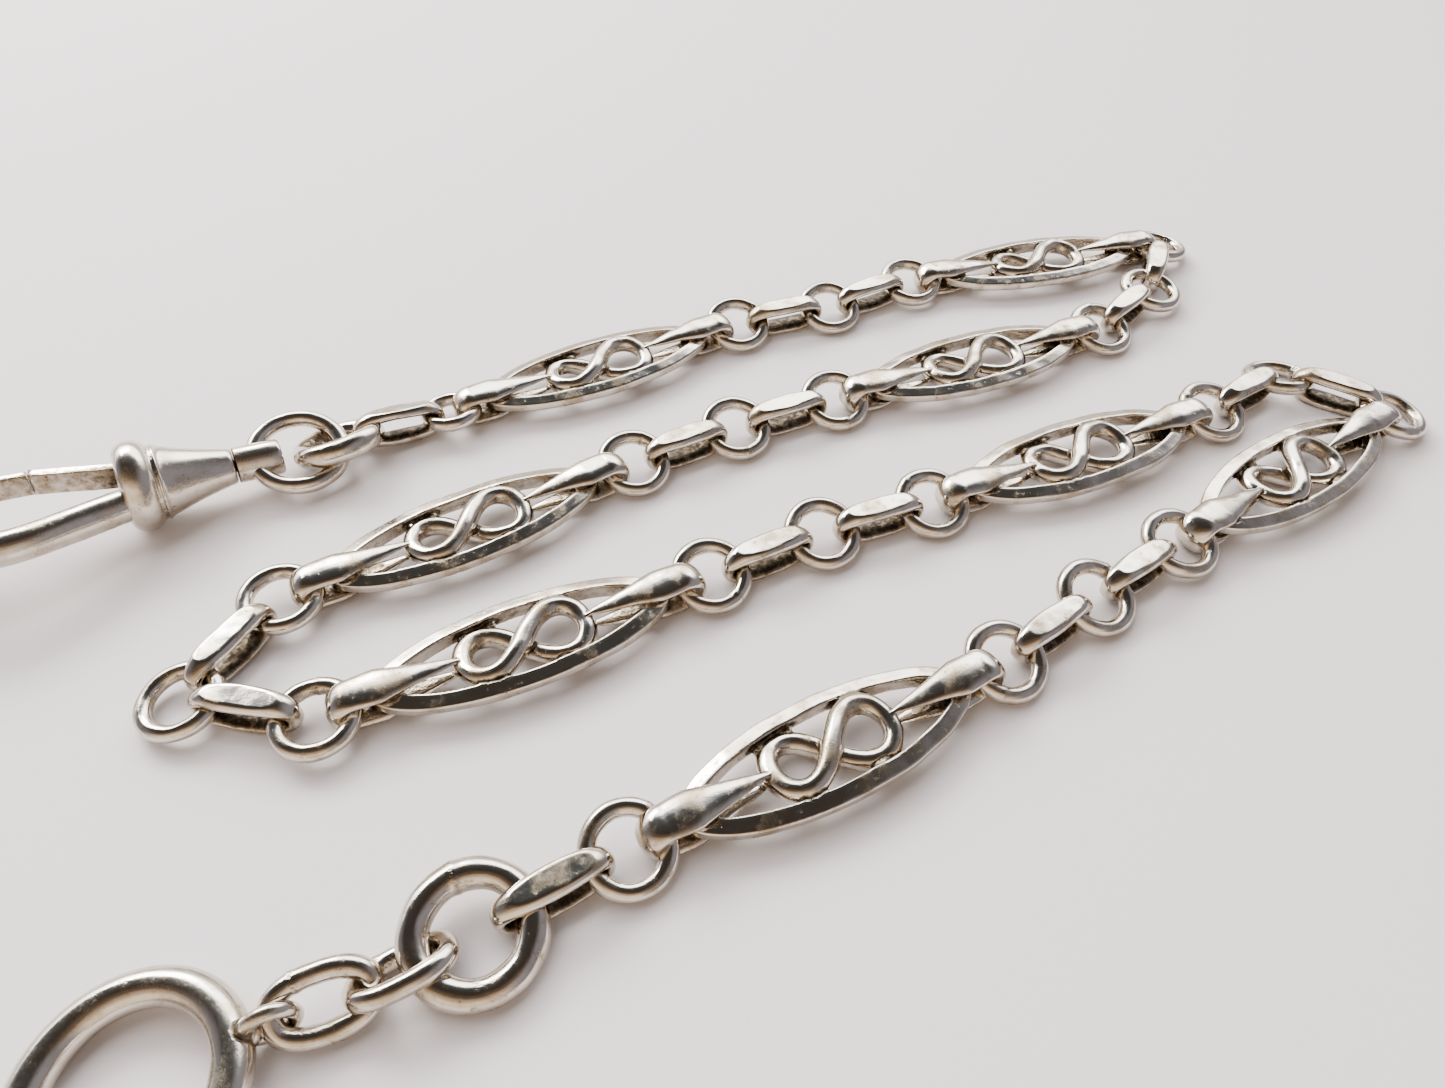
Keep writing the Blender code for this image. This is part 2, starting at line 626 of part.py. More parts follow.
def lay_clip_end(eye, home, meshes, metal, plate):
    """The heavy ring, the swivel ring and the dog clip before the first connector."""
    first = HEADINGS[0][1]
    reach = (HEAVY_RING_LENGTH - HEAVY_RING_WIRE) / 2
    eye = eye + heading(first) * (HEAVY_RING_WIRE - RING_WIRE) / 2
    heavy = eye - heading(HEAVY_HEADING) * reach
    add("heavy_ring", meshes["heavy"], link_matrix(heavy, HEAVY_HEADING, HEAVY_ROLL), metal, home)
    crossing = heavy - heading(HEAVY_HEADING) * HEAVY_CROSSING
    slope = math.radians(CLIP_SLOPE)
    rise = BEAD_R + (BEAD_TUBE_R + CONE_LENGTH + STEM_EYE) * math.sin(slope) - crossing.z
    tilt = math.asin(rise / (2 * SWIVEL_R))
    swivel_way = heading(SWIVEL_HEADING) * math.cos(tilt) - UP * math.sin(tilt)
    swivel = crossing - swivel_way * SWIVEL_R
    across = UP.cross(swivel_way).normalized()
    across = Matrix.Rotation(math.radians(SWIVEL_LEAN), 3, swivel_way) @ across
    add("swivel_ring", meshes["swivel"], frame_matrix(swivel, swivel_way, across), metal, home)
    stem_way = heading(CLIP_HEADING) * math.cos(slope) + UP * math.sin(slope)
    face = swivel - swivel_way * SWIVEL_R - stem_way * STEM_EYE
    add("swivel_stem", meshes["stem"], frame_matrix(face, stem_way, across), metal, home)
    bead = face - stem_way * (BEAD_TUBE_R + CONE_LENGTH)
    clip = frame_matrix(bead, stem_way, UP.cross(stem_way))
    add("clip_bell", meshes["bell"], clip, metal, home)
    add("clip_hook", meshes["hook"], clip, metal, home)
    add("clip_gate", meshes["gate"], clip, metal, home)
    add("clip_gate_spring", meshes["gate_spring"], clip, plate, home)


def main():
    clear_scene()
    home = new_collection("pocket_watch_chain")
    tools = new_collection("helpers", hidden=True)
    silver = new_material("silver", (0.86, 0.83, 0.77), 0.18)
    steel = new_material("spring_steel", (0.55, 0.55, 0.56), 0.35)
    squash = (HEAVY_RING_WIDTH - HEAVY_RING_WIRE) / (HEAVY_RING_LENGTH - HEAVY_RING_WIRE)
    meshes = {
        "connector": connector_mesh(tools),
        "marquise": marquise_mesh(tools),
        "ring": ring_mesh("ring", RING_D, RING_WIRE, tools),
        "end_ring": ring_mesh("end_ring", END_RING_D, RING_WIRE, tools),
        "big_ring": ring_mesh("big_ring", BIG_RING_D, BIG_RING_WIRE, tools),
        "swivel": ring_mesh("swivel", SWIVEL_RING_D, SWIVEL_RING_WIRE, tools),
        "heavy": ring_mesh("heavy", HEAVY_RING_LENGTH, HEAVY_RING_WIRE, tools, squash),
        "trace": trace_mesh(tools),
        "bell": bell_mesh(tools),
        "hook": hook_mesh(tools),
        "gate": gate_mesh(tools),
        "gate_spring": gate_spring_mesh(tools),
        "stem": stem_mesh(tools),
        "tube": bolt_tube_mesh(tools),
        "tongue": tongue_mesh(tools),
        "coil": bolt_spring_mesh(tools),
    }
    head, tail = lay_chain(home, meshes, silver)
    lay_clip_end(head, home, meshes, silver, steel)
    lay_bolt_end(tail, home, meshes, silver, steel)


main()
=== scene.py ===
"""Pocket watch chain: the finished looks of every piece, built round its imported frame.

Each new piece is a surface over a grid: a section carried along a path, or a profile turned about an
axis. It is worked out in the piece's own frame in millimetres, and then placed on its CAD node.
"""

import json
import math

import bpy
import numpy as np
from bpy.props import FloatProperty, IntProperty, PointerProperty, StringProperty
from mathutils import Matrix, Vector


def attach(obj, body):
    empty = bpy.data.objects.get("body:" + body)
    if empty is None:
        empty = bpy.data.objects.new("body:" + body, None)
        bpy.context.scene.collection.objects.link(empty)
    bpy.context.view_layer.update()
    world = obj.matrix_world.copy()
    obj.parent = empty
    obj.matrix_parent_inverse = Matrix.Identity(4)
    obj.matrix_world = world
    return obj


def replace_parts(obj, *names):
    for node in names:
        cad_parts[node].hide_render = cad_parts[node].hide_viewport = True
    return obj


bl_info = {
    "name": "Pocket watch chain",
    "version": (1, 0, 0),
    "blender": (4, 5, 0),
    "location": "View3D > Sidebar > Watch chain",
    "description": "Builds the links, rings, dog clip and bolt ring of a silver pocket watch chain",
    "category": "Add Mesh",
}

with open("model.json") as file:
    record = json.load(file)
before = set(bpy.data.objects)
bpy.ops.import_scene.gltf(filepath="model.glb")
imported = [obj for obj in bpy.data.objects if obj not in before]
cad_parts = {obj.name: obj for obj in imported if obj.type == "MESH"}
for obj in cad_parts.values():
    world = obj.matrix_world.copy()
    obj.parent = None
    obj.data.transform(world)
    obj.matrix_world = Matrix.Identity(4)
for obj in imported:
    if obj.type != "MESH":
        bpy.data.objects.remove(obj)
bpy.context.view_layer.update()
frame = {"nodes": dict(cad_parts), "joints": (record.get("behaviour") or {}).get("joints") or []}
NODES = frame["nodes"]
JOINTS = {joint["name"]: joint for joint in frame["joints"]}
MM = 0.001
UP = np.array((0.0, 0.0, 1.0))


# Measuring the frame.


def read(items, field, per_item, kind):
    """One field of every item, as a flat array."""
    values = np.empty(len(items) * per_item, kind)
    items.foreach_get(field, values)
    return values


def unit(vectors):
    """Vectors scaled to length 1, along the last axis."""
    return vectors / np.linalg.norm(vectors, axis=-1, keepdims=True)


def surface_points(node):
    """The corners of a node's triangles, as an array of (triangles, 3, 3), in millimetres."""
    mesh = NODES[node].data
    places = read(mesh.vertices, "co", 3, float).reshape(-1, 3)
    corners = read(mesh.loops, "vertex_index", 1, np.int64)
    return places[corners].reshape(-1, 3, 3) / MM


def principal_pose(node, order="xyz"):
    """(centre, axes) of a node. The axes are rows: its longest way first, unless order says otherwise.

    Centre and axes are those of the surface's area: the sum over triangles of area / 12 times
    (the corners' outer products + the outer product of their sum).
    """
    corners = surface_points(node)
    sides = corners[:, 1:] - corners[:, :1]
    area = np.linalg.norm(np.cross(sides[:, 0], sides[:, 1]), axis=1) / 2
    centre = (corners.mean(axis=1) * area[:, None]).sum(axis=0) / area.sum()
    local = corners - centre
    total = local.sum(axis=1)
    spread = np.einsum("t,tij,tik->jk", area / 12, local, local)
    spread += np.einsum("t,tj,tk->jk", area / 12, total, total)
    ways = np.linalg.eigh(spread)[1].T[::-1]
    ways = ways[["xyz".index(letter) for letter in order]]
    x, z = ways[0], ways[2]
    x = x if x[0] > 0 else -x
    z = z if z @ UP > 0 else -z
    return centre, np.array((x, np.cross(z, x), z))


def clip_pose():
    """(centre, axes) of the clip: X along its swivel's axis, Z along its gate's pin, pointing up."""
    x, z = (unit(np.array(JOINTS[name]["axis"])) for name in ("clip_swivel", "clip_gate_hinge"))
    z = z if z @ UP > 0 else -z
    return np.array(JOINTS["clip_swivel"]["pos_m"]) / MM, np.array((x, np.cross(z, x), z))


def ring_pose(node):
    """(centre, axes) of a round ring: its Z is the ring's normal, its X lies level."""
    centre, axes = principal_pose(node)
    normal = axes[2]
    level = unit(np.cross(UP, normal)) if abs(normal[2]) < 0.9999 else np.array((1.0, 0.0, 0.0))
    level = level if level[0] > 0 else -level
    return centre, np.array((level, np.cross(normal, level), normal))


# Working out surfaces.


def turns(count):
    """Evenly spaced angles of one full turn."""
    return np.linspace(0, 2 * np.pi, count, endpoint=False)


def signed_power(values, power):
    """The size of each value to a power, with the value's own sign."""
    return np.sign(values) * np.abs(values) ** power


def ease(values):
    """0 below 0, 1 above 1, and a smooth step between."""
    held = np.clip(values, 0, 1)
    return held * held * (3 - 2 * held)


def bump_at(values, middle, width):
    """A bell curve of height 1 round middle, on angles that wrap."""
    away = (values - middle + np.pi) % (2 * np.pi) - np.pi
    return np.exp(-((away / width) ** 2))


def hand_made(points, amount, size, seed):
    """The points moved by a sum of sine waves in random directions, as forging and wear leave them.

    Each of six waves is sin(k . p + phase) times a random direction, and its length is about size.
    """
    random = np.random.default_rng(seed)
    moved = points.copy()
    for _ in range(6):
        wave = unit(random.normal(size=3)) * 2 * np.pi / (size * random.uniform(0.7, 1.6))
        push = unit(random.normal(size=3)) * amount / 6**0.5
        moved += np.sin(points @ wave + random.uniform(0, 2 * np.pi))[..., None] * push
    return moved


def rounded(corners, radius, steps=5):
    """A closed outline with each corner rounded: a quadratic curve between points radius away from it."""
    corners = np.array(corners, float)
    back = corners + unit(np.roll(corners, 1, axis=0) - corners) * radius
    ahead = corners + unit(np.roll(corners, -1, axis=0) - corners) * radius
    s = np.linspace(0, 1, steps)[:, None]
    curves = [(1 - s) ** 2 * a + 2 * s * (1 - s) * c + s**2 * b for a, c, b in zip(back, corners, ahead)]
    return np.concatenate(curves)


def path_frame(path, across, closed):
    """The way outwards at each point of a path: across x tangent, with the tangent by differences."""
    if closed:
        tangent = np.roll(path, -1, axis=0) - np.roll(path, 1, axis=0)
    else:
        tangent = np.gradient(path, axis=0)
    return unit(np.cross(tangent, across))


def sweep(path, across, section, closed=True):
    """Section carried along a path: path + across * first + outwards * second, as (stations, steps, 3)."""
    across = np.broadcast_to(np.array(across, float), path.shape)
    outwards = path_frame(path, across, closed)
    return path[:, None] + across[:, None] * section[..., :1] + outwards[:, None] * section[..., 1:]


def lathe(profile, steps):
    """A closed profile of (x, r) points turned about X: (x, r cos t, r sin t)."""
    t = turns(steps)[None]
    x, r = profile[:, :1], profile[:, 1:]
    return np.stack((x + 0 * t, r * np.cos(t), r * np.sin(t)), axis=-1)


def grid_faces(stations, steps, closed):
    """Quads over a grid that wraps round each row, and along the rows too if it is closed."""
    i = np.arange(stations if closed else stations - 1)[:, None]
    k = np.arange(steps)[None]
    after_i, after_k = (i + 1) % stations, (k + 1) % steps
    quads = (i * steps + k, i * steps + after_k, after_i * steps + after_k, after_i * steps + k)
    return np.stack([q + 0 * i + 0 * k for q in quads], axis=-1).reshape(-1, 4)


def shell(rows, tarnish_and_shade=0.0, closed=True):
    """(points, quads, triangles, tarnish and painted shade per point) of one closed surface. An open path
    gets a fan at each end.
    """
    stations, steps = rows.shape[:2]
    points = rows.reshape(-1, 3)
    tarnish_and_shade_values = np.broadcast_to(tarnish_and_shade, (stations, steps)).reshape(-1)
    quads = grid_faces(stations, steps, closed)
    fans = np.empty((0, 3), int)
    if not closed:
        k = np.arange(steps)
        first, last = len(points), len(points) + 1
        start = np.stack((np.full(steps, first), (k + 1) % steps, k), axis=-1)
        base = (stations - 1) * steps
        end = np.stack((np.full(steps, last), base + k, base + (k + 1) % steps), axis=-1)
        fans = np.concatenate((start, end))
        points = np.concatenate((points, rows[:1].mean(axis=1), rows[-1:].mean(axis=1)))
        tarnish_and_shade_values = np.concatenate((tarnish_and_shade_values, tarnish_and_shade_values[:1], tarnish_and_shade_values[-1:]))
    a, b, c, d = (points[quads[:, n]] for n in range(4))
    volume = np.einsum("ij,ij->", a, np.cross(b, c)) + np.einsum("ij,ij->", a, np.cross(c, d))
    if len(fans):
        p, q, r = (points[fans[:, n]] for n in range(3))
        volume += np.einsum("ij,ij->", p, np.cross(q, r))
    if volume < 0:
        quads, fans = quads[:, ::-1], fans[:, ::-1]
    return points, quads, fans, tarnish_and_shade_values


def build(name, shells, pose, material, body):
    """One mesh object from shells in a piece's own frame, placed by pose, riding on a body."""
    points, faces, sizes, tarnish_and_shade_values, offset = [], [], [], [], 0
    for places, quads, fans, tarnish_and_shade in shells:
        points.append(places)
        tarnish_and_shade_values.append(tarnish_and_shade)
        faces += [(quads + offset).reshape(-1), (fans + offset).reshape(-1)]
        sizes += [np.full(len(quads), 4), np.full(len(fans), 3)]
        offset += len(places)
    centre, axes = pose
    world = (centre + np.concatenate(points) @ axes) * MM
    loops, sizes = np.concatenate(faces), np.concatenate(sizes)
    mesh = bpy.data.meshes.new(name)
    mesh.vertices.add(len(world))
    mesh.vertices.foreach_set("co", world.reshape(-1))
    mesh.loops.add(len(loops))
    mesh.loops.foreach_set("vertex_index", loops)
    mesh.polygons.add(len(sizes))
    mesh.polygons.foreach_set("loop_start", np.cumsum(sizes) - sizes)
    mesh.polygons.foreach_set("use_smooth", np.ones(len(sizes), bool))
    # Per point, how much tarnish and painted shade in the recesses the material puts there.
    tarnish_and_shade_layer = mesh.attributes.new("tarnish_and_shade", "FLOAT", "POINT")
    tarnish_and_shade_layer.data.foreach_set("value", np.concatenate(tarnish_and_shade_values).astype(np.float32))
    mesh.update(calc_edges=True)
    if mesh.validate():
        raise RuntimeError(f"{name} had faces that Blender had to mend")
    made = bpy.data.objects.new(name, mesh)
    bpy.context.scene.collection.objects.link(made)
    if body is None:
        return made
    mesh.materials.append(material)
    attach(made, body)
    return made


# Finishes.


def linear(colour):
    """An sRGB hex colour as linear RGBA."""
    channels = np.array([int(colour[i : i + 2], 16) for i in (1, 3, 5)]) / 255
    low = channels / 12.92
    high = ((channels + 0.055) / 1.055) ** 2.4
    return (*np.where(channels <= 0.04045, low, high), 1.0)


SMOOTH = {"interpolation_type": "SMOOTHSTEP"}


def add_node(tree, kind, values=(), output=0, **settings):
    """An output of a new node with its settings.

    Values are given by socket name or number, or in the sockets' order. Each is a socket to link from,
    or the input's own constant.
    """
    made = tree.nodes.new(kind)
    for key, setting in settings.items():
        setattr(made, key, setting)
    for key, value in values.items() if isinstance(values, dict) else enumerate(values):
        if isinstance(value, bpy.types.NodeSocket):
            tree.links.new(value, made.inputs[key])
        else:
            made.inputs[key].default_value = value
    return made.outputs[output] if len(made.outputs) else None


def per_metre(size_mm):
    """A texture scale whose pattern repeats about every size_mm."""
    return 1.0 / (size_mm * MM)


def silver(name, roughness, dent_mm, dent_depth_mm, grain_mm, wear, bright=None, toned=None):
    """Sterling silver, long worn and wiped: bright where it is handled, straw-brown and then nearly black
    where it is recessed.

    One attribute says how recessed the surface is, and the colours it sets there are tarnish and painted
    shade together. Noise about 0.5 mm wide breaks up its edge, and specks spread it over the clouded
    patches. Broad dents bend the reflections, as hand filing and wear do. Clouds, fine grain and pits dull
    them. Bright and toned are the finish's own unless they are given.
    """
    if name in bpy.data.materials:
        return bpy.data.materials[name]
    look = bpy.context.scene.watch_chain_finish
    made = bpy.data.materials.new(name)
    made.use_nodes = True
    tree = made.node_tree
    tree.nodes.clear()
    place = add_node(tree, "ShaderNodeTexCoord", output="Object")
    # The attribute read here is how recessed the surface is: it drives tarnish and painted shade in the
    # recesses.
    tarnish_and_shade = add_node(tree, "ShaderNodeAttribute", output="Fac", attribute_name="tarnish_and_shade")
    noises = []
    for size_mm, detail, coarse in (
        (0.5, 5.0, 0.6), (2.0, 3.0, 0.5), (0.25, 2.0, 0.5), (grain_mm, 4.0, 0.6), (dent_mm, 1.5, 0.4),
    ):
        values = {"Vector": place, "Scale": per_metre(size_mm), "Detail": detail, "Roughness": coarse}
        noises.append(add_node(tree, "ShaderNodeTexNoise", values, "Fac"))
    patches, cloud, peaks, grain, dents = noises
    broken = add_node(tree, "ShaderNodeMapRange", (patches, 0.25, 0.75, -0.35, 0.35))
    peaks = add_node(tree, "ShaderNodeMapRange", (peaks, 0.6, 0.74, 0.0, 0.4), **SMOOTH)
    clouded = add_node(tree, "ShaderNodeMapRange", (cloud, 0.5, 0.62, 0.0, 1.0), **SMOOTH)
    specks = add_node(tree, "ShaderNodeMath", (peaks, clouded), operation="MULTIPLY")
    recess = add_node(tree, "ShaderNodeMath", (tarnish_and_shade, broken), operation="ADD")
    reach = add_node(tree, "ShaderNodeMath", (recess, specks), operation="ADD")
    colour = linear(bright or look.bright)
    # Random clouds give the first warm tone. Where the recess value is high, straw-brown and then near
    # black are painted: tarnish, and painted shade in the recesses.
    for value, low, high, most, layer in (
        (cloud, 0.42, 0.72, wear, toned or look.toned),
        (reach, 0.05, 0.75, 0.85, "#7F6D52"),
        (reach, 0.55, 1.15, 0.92, look.deepest_tarnish_and_shade),
    ):
        share = add_node(tree, "ShaderNodeMapRange", (value, low, high, 0.0, most), **SMOOTH)
        values = {0: share, 6: colour, 7: linear(layer)}
        colour = add_node(tree, "ShaderNodeMix", values, 2, data_type="RGBA")
    smear = (grain, 0.3, 0.75, roughness * 0.75, roughness * 1.4)
    rough = add_node(tree, "ShaderNodeMapRange", smear, **SMOOTH)
    for value, low, high, most in (
        (cloud, 0.45, 0.68, 0.22 * wear), (reach, 0.2, 1.0, 0.28), (patches, 0.48, 0.68, 0.08 * wear),
    ):
        duller = add_node(tree, "ShaderNodeMapRange", (value, low, high, 0.0, most), **SMOOTH)
        rough = add_node(tree, "ShaderNodeMath", (rough, duller), operation="ADD")
    pitted = add_node(tree, "ShaderNodeMapRange", (recess, 0.15, 0.9, 0.1, 1.0), **SMOOTH)
    pits = add_node(tree, "ShaderNodeMath", (patches, pitted), operation="MULTIPLY")
    under = {}
    for height, strength, depth_mm, sunk in (
        (dents, 1.0, dent_depth_mm, False), (grain, 0.3, 0.008, False), (pits, 0.6, 0.12, True),
    ):
        values = {"Height": height, "Strength": strength, "Distance": depth_mm * MM, **under}
        under = {"Normal": add_node(tree, "ShaderNodeBump", values, invert=sunk)}
    values = {"Base Color": colour, "Metallic": 1.0, "Roughness": rough, **under}
    add_node(tree, "ShaderNodeOutputMaterial", (add_node(tree, "ShaderNodeBsdfPrincipled", values),))
    return made


def drawn_wire():
    """Drawn and burnished silver wire: smooth, with long soft dents."""
    return silver("drawn_silver_wire", 0.10, 1.8, 0.08, 0.12, 0.6)


def cast_silver():
    """Cast and filed silver, the most toned, with its mould's grain in the recesses."""
    return silver("cast_filed_silver", 0.09, 2.0, 0.08, 0.09, 0.85)


def turned_silver():
    """Turned and polished silver, the least toned, its shine softened by handling."""
    return silver("turned_polished_silver", 0.15, 2.6, 0.05, 0.10, 0.5)


def spring_steel():
    """Blued-grey spring steel, rolled."""
    return silver("rolled_spring_steel", 0.3, 1.5, 0.05, 0.08, 0.4, "#8E8F92", "#7A7A7C")


# Sections and paths of the pieces, in millimetres.


def round_section(radius, steps):
    """A circle of a radius given for each station."""
    t = turns(steps)[None]
    return np.stack((radius[:, None] * np.cos(t), radius[:, None] * np.sin(t)), axis=-1)


def wire_ring(long_mm, wide_mm, wire_mm, seed, worn=0.0, steps=120, around=28):
    """A soldered ring of round wire.

    The path is (a cos t, b sin t), slightly out of round. The wire's radius varies by two slow waves,
    swells 6% at the soldered seam, and is worn thinner where the ring hangs in its neighbours, by worn |cos
    t| to the power 4. The inner side is painted a little darker, as tarnish and painted shade, and the seam
    darker still, which is its solder.
    """
    random = np.random.default_rng(seed)
    t = turns(steps)
    drift = 1 + 0.006 * np.sin(2 * t + random.uniform(0, 6))
    a, b = (long_mm - wire_mm) / 2, (wide_mm - wire_mm) / 2
    path = np.stack((a * drift * np.cos(t), b * drift * np.sin(t), 0 * t), axis=-1)
    waves = 0.02 * np.sin(3 * t + random.uniform(0, 6)) + 0.012 * np.sin(7 * t + random.uniform(0, 6))
    seam = bump_at(t, random.uniform(0, 6), 0.07)
    radius = wire_mm / 2 * (0.985 + waves + 0.06 * seam) - worn * np.cos(t) ** 4
    rows = sweep(path, UP, round_section(radius, around))
    # Painted shade with tarnish on the inner side, where the neighbouring links shade it; the seam's darker
    # tone is its solder.
    inner = np.clip(-np.sin(turns(around)), 0, 1)[None]
    tarnish_and_shade = 0.22 * inner + 0.35 * seam[:, None]
    return shell(hand_made(rows, 0.012 * wire_mm, 2.4, seed), tarnish_and_shade)


def connector_shell(size, seed):
    """An oblong link that stands on edge, its domed top and bottom filed to flat lens-shaped facets.

    The path is a superellipse in XZ, x = a |cos t|^(2/n) and z = c |sin t|^(2/n). The section is nearly
    an ellipse, widest half-way along the link and thickest at its ends. z is then held within half the
    link's height, which cuts the flats.
    """
    t = turns(size.connector_steps)
    phi = turns(36)[None]
    power = 2 / size.connector_squareness
    half_height = size.connector_height / 2
    a = (size.connector_length - size.connector_end) / 2
    c = (size.connector_height - size.connector_wall) / 2
    x, z = a * signed_power(np.cos(t), power), c * signed_power(np.sin(t), power)
    path = np.stack((x, 0 * t, z), axis=-1)
    near_middle = (1 - (path[:, 0] / a) ** 2)[:, None]
    breadth = size.connector_end_width / 2
    breadth = breadth + (size.connector_width / 2 - breadth) * near_middle**0.8
    end_half = size.connector_end / 2
    inner = end_half + (size.connector_wall / 2 - end_half) * ease(near_middle * 2.2)
    outer = end_half + (size.connector_wall / 2 + size.connector_dome - end_half) * ease(near_middle * 1.6)
    thickness = np.where(np.sin(phi) > 0, outer, inner)
    section = np.stack((breadth * signed_power(np.cos(phi), 0.9), -thickness * np.sin(phi)), axis=-1)
    rows = sweep(path, (0, 1, 0), section)
    rows = hand_made(rows, 0.05, 3.0, seed)
    rows[..., 2] = np.clip(rows[..., 2], -half_height, half_height)
    # The inside of the hole is painted darker: tarnish and painted shade in the hole.
    inside = np.clip(-np.sin(phi) * 1.6, 0, 1) * np.ones((len(t), 1))
    return shell(rows, inside)


def lens_path(length, width, steps):
    """A boat-shaped closed outline: x = a sin t, y = b cos t to the power 1.1."""
    t = turns(steps)
    return np.stack((length / 2 * np.sin(t), width / 2 * signed_power(np.cos(t), 1.1), 0 * t), axis=-1)


def rim_shell(size, seed):
    """The boat-shaped rim: a broad flat strip bent round the outline, sloping a little outwards."""
    wall, height = size.rim_wall, size.rim_height
    path = lens_path(size.rim_length - wall, size.rim_width - wall, 240)
    n, z, shoulder = wall / 2, height / 2, size.rim_shoulder
    above = [(z, -n), (z - 0.02, -n + 0.25), (shoulder, n)]
    outline = rounded(above + [(-high, out) for high, out in above[::-1]], 0.09)
    section = np.broadcast_to(outline, (len(path), *outline.shape))
    out_way = path_frame(path, np.broadcast_to(UP, path.shape), True)
    if (out_way * path).sum() < 0:
        section = section * (1, -1)
    return shell(hand_made(sweep(path, UP, section), 0.05, 4.0, seed))


def boat_tarnish_and_shade(size):
    """How dark the boat link is painted away from its creases, as tarnish and painted shade: the eight and
    the spears' lower arms most.
    """

    eight_end, arm_start, arm_half = 5.2, 4.2, 1.35

    def tarnish_and_shade_of(points, normal):
        inside = 1 - (points[:, 0] / (size.rim_length / 2 - 0.4)) ** 2
        edge = (size.rim_width / 2 - size.rim_wall) * np.maximum(inside, 0)
        out, aside = np.abs(points[:, 0]), np.abs(points[:, 1])
        # The eight, sunk inside the rim, is painted darker: tarnish and painted shade.
        eight = ease((edge - aside) / 0.25 + 0.5) * (out < eight_end)
        arm = (out > arm_start) * (aside < arm_half)
        # Painted shade with tarnish on the spears' lower arms, which lie low in shadow.
        lower_arm = ease((-points[:, 2] - 0.2) / 0.3) * arm
        rim = 0.22 * (1 - eight) * (1 - arm)
        # Painted shade on faces that look down or sideways, where less light falls.
        under = 0.30 * np.clip(-normal[:, 2], 0, 1) + 0.12 * (np.abs(normal[:, 2]) < 0.4)
        return 0.56 * eight + 0.85 * lower_arm + rim + under

    return tarnish_and_shade_of


def eight_path(size, steps):
    """The figure eight: x = a sin t / d, y = b sin t cos t / d, z = h cos t, where d = 1 + k cos t squared.

    It crosses at t = 0. k rounds the loops: 0 leaves them pointed at their sides, 1 is a lemniscate. b is
    half the width over the largest value of sin t cos t / d, which is 0.5 / sqrt(1 + k).
    """
    t = turns(steps)
    rounding = 1 + size.eight_roundness * np.cos(t) ** 2
    half_width = size.eight_width * (1 + size.eight_roundness) ** 0.5
    return np.stack((
        (size.eight_length - size.eight_wire) / 2 * np.sin(t) / rounding,
        half_width * np.sin(t) * np.cos(t) / rounding,
        0.42 * size.eight_wire * np.cos(t),
    ), axis=-1)


def eight_shell(size, seed):
    """The figure eight of round wire. The radius varies by a slow wave, as bent wire does."""
    path = eight_path(size, 240)
    t = turns(240)
    random = np.random.default_rng(seed)
    radius = size.eight_wire / 2 * (1 + 0.03 * np.sin(5 * t + random.uniform(0, 6)))
    rows = sweep(path, UP, round_section(radius, 24))
    return shell(hand_made(rows, 0.04, 1.8, seed))


def solder_shells(size, seed):
    """Solder bridges from the loops of the eight to the rim: two on one side, one broad one opposite."""
    random = np.random.default_rng(seed)
    places = ((-3.9, 1.9, 0.55), (-2.0, 2.5, 0.6), (2.1, 2.5, 0.45), (2.4, -2.5, 1.0), (-2.8, -2.45, 0.5))
    made = []
    for k, (x, y, broad) in enumerate(places):
        across = np.array((broad * random.uniform(0.8, 1.15), 0.62, 0.42 * random.uniform(0.8, 1.1)))
        made.append(blob((x + random.normal(0, 0.12), y + 0.25 * np.sign(y), -0.1), across, seed + k))
    return made


def blob(middle, size, seed):
    """A lump of solder: an uneven ellipsoid, (a cos u, b sin u cos v, c sin u sin v) from pole to pole."""
    u = np.linspace(0.12, np.pi - 0.12, 14)[:, None]
    v = turns(20)[None]
    rows = np.stack((
        size[0] * np.cos(u) + 0 * v,
        size[1] * np.sin(u) * np.cos(v),
        size[2] * np.sin(u) * np.sin(v),
    ), axis=-1)
    return shell(hand_made(rows, 0.05, 0.9, seed) + np.array(middle), closed=False)


def neighbour_mean(points, edges, count):
    """Each point's mean over the points that share an edge with it."""
    total = np.empty_like(points)
    for axis in range(3):
        total[:, axis] = np.bincount(edges[:, 0], points[edges[:, 1], axis], len(points))
        total[:, axis] += np.bincount(edges[:, 1], points[edges[:, 0], axis], len(points))
    return total / count[:, None]


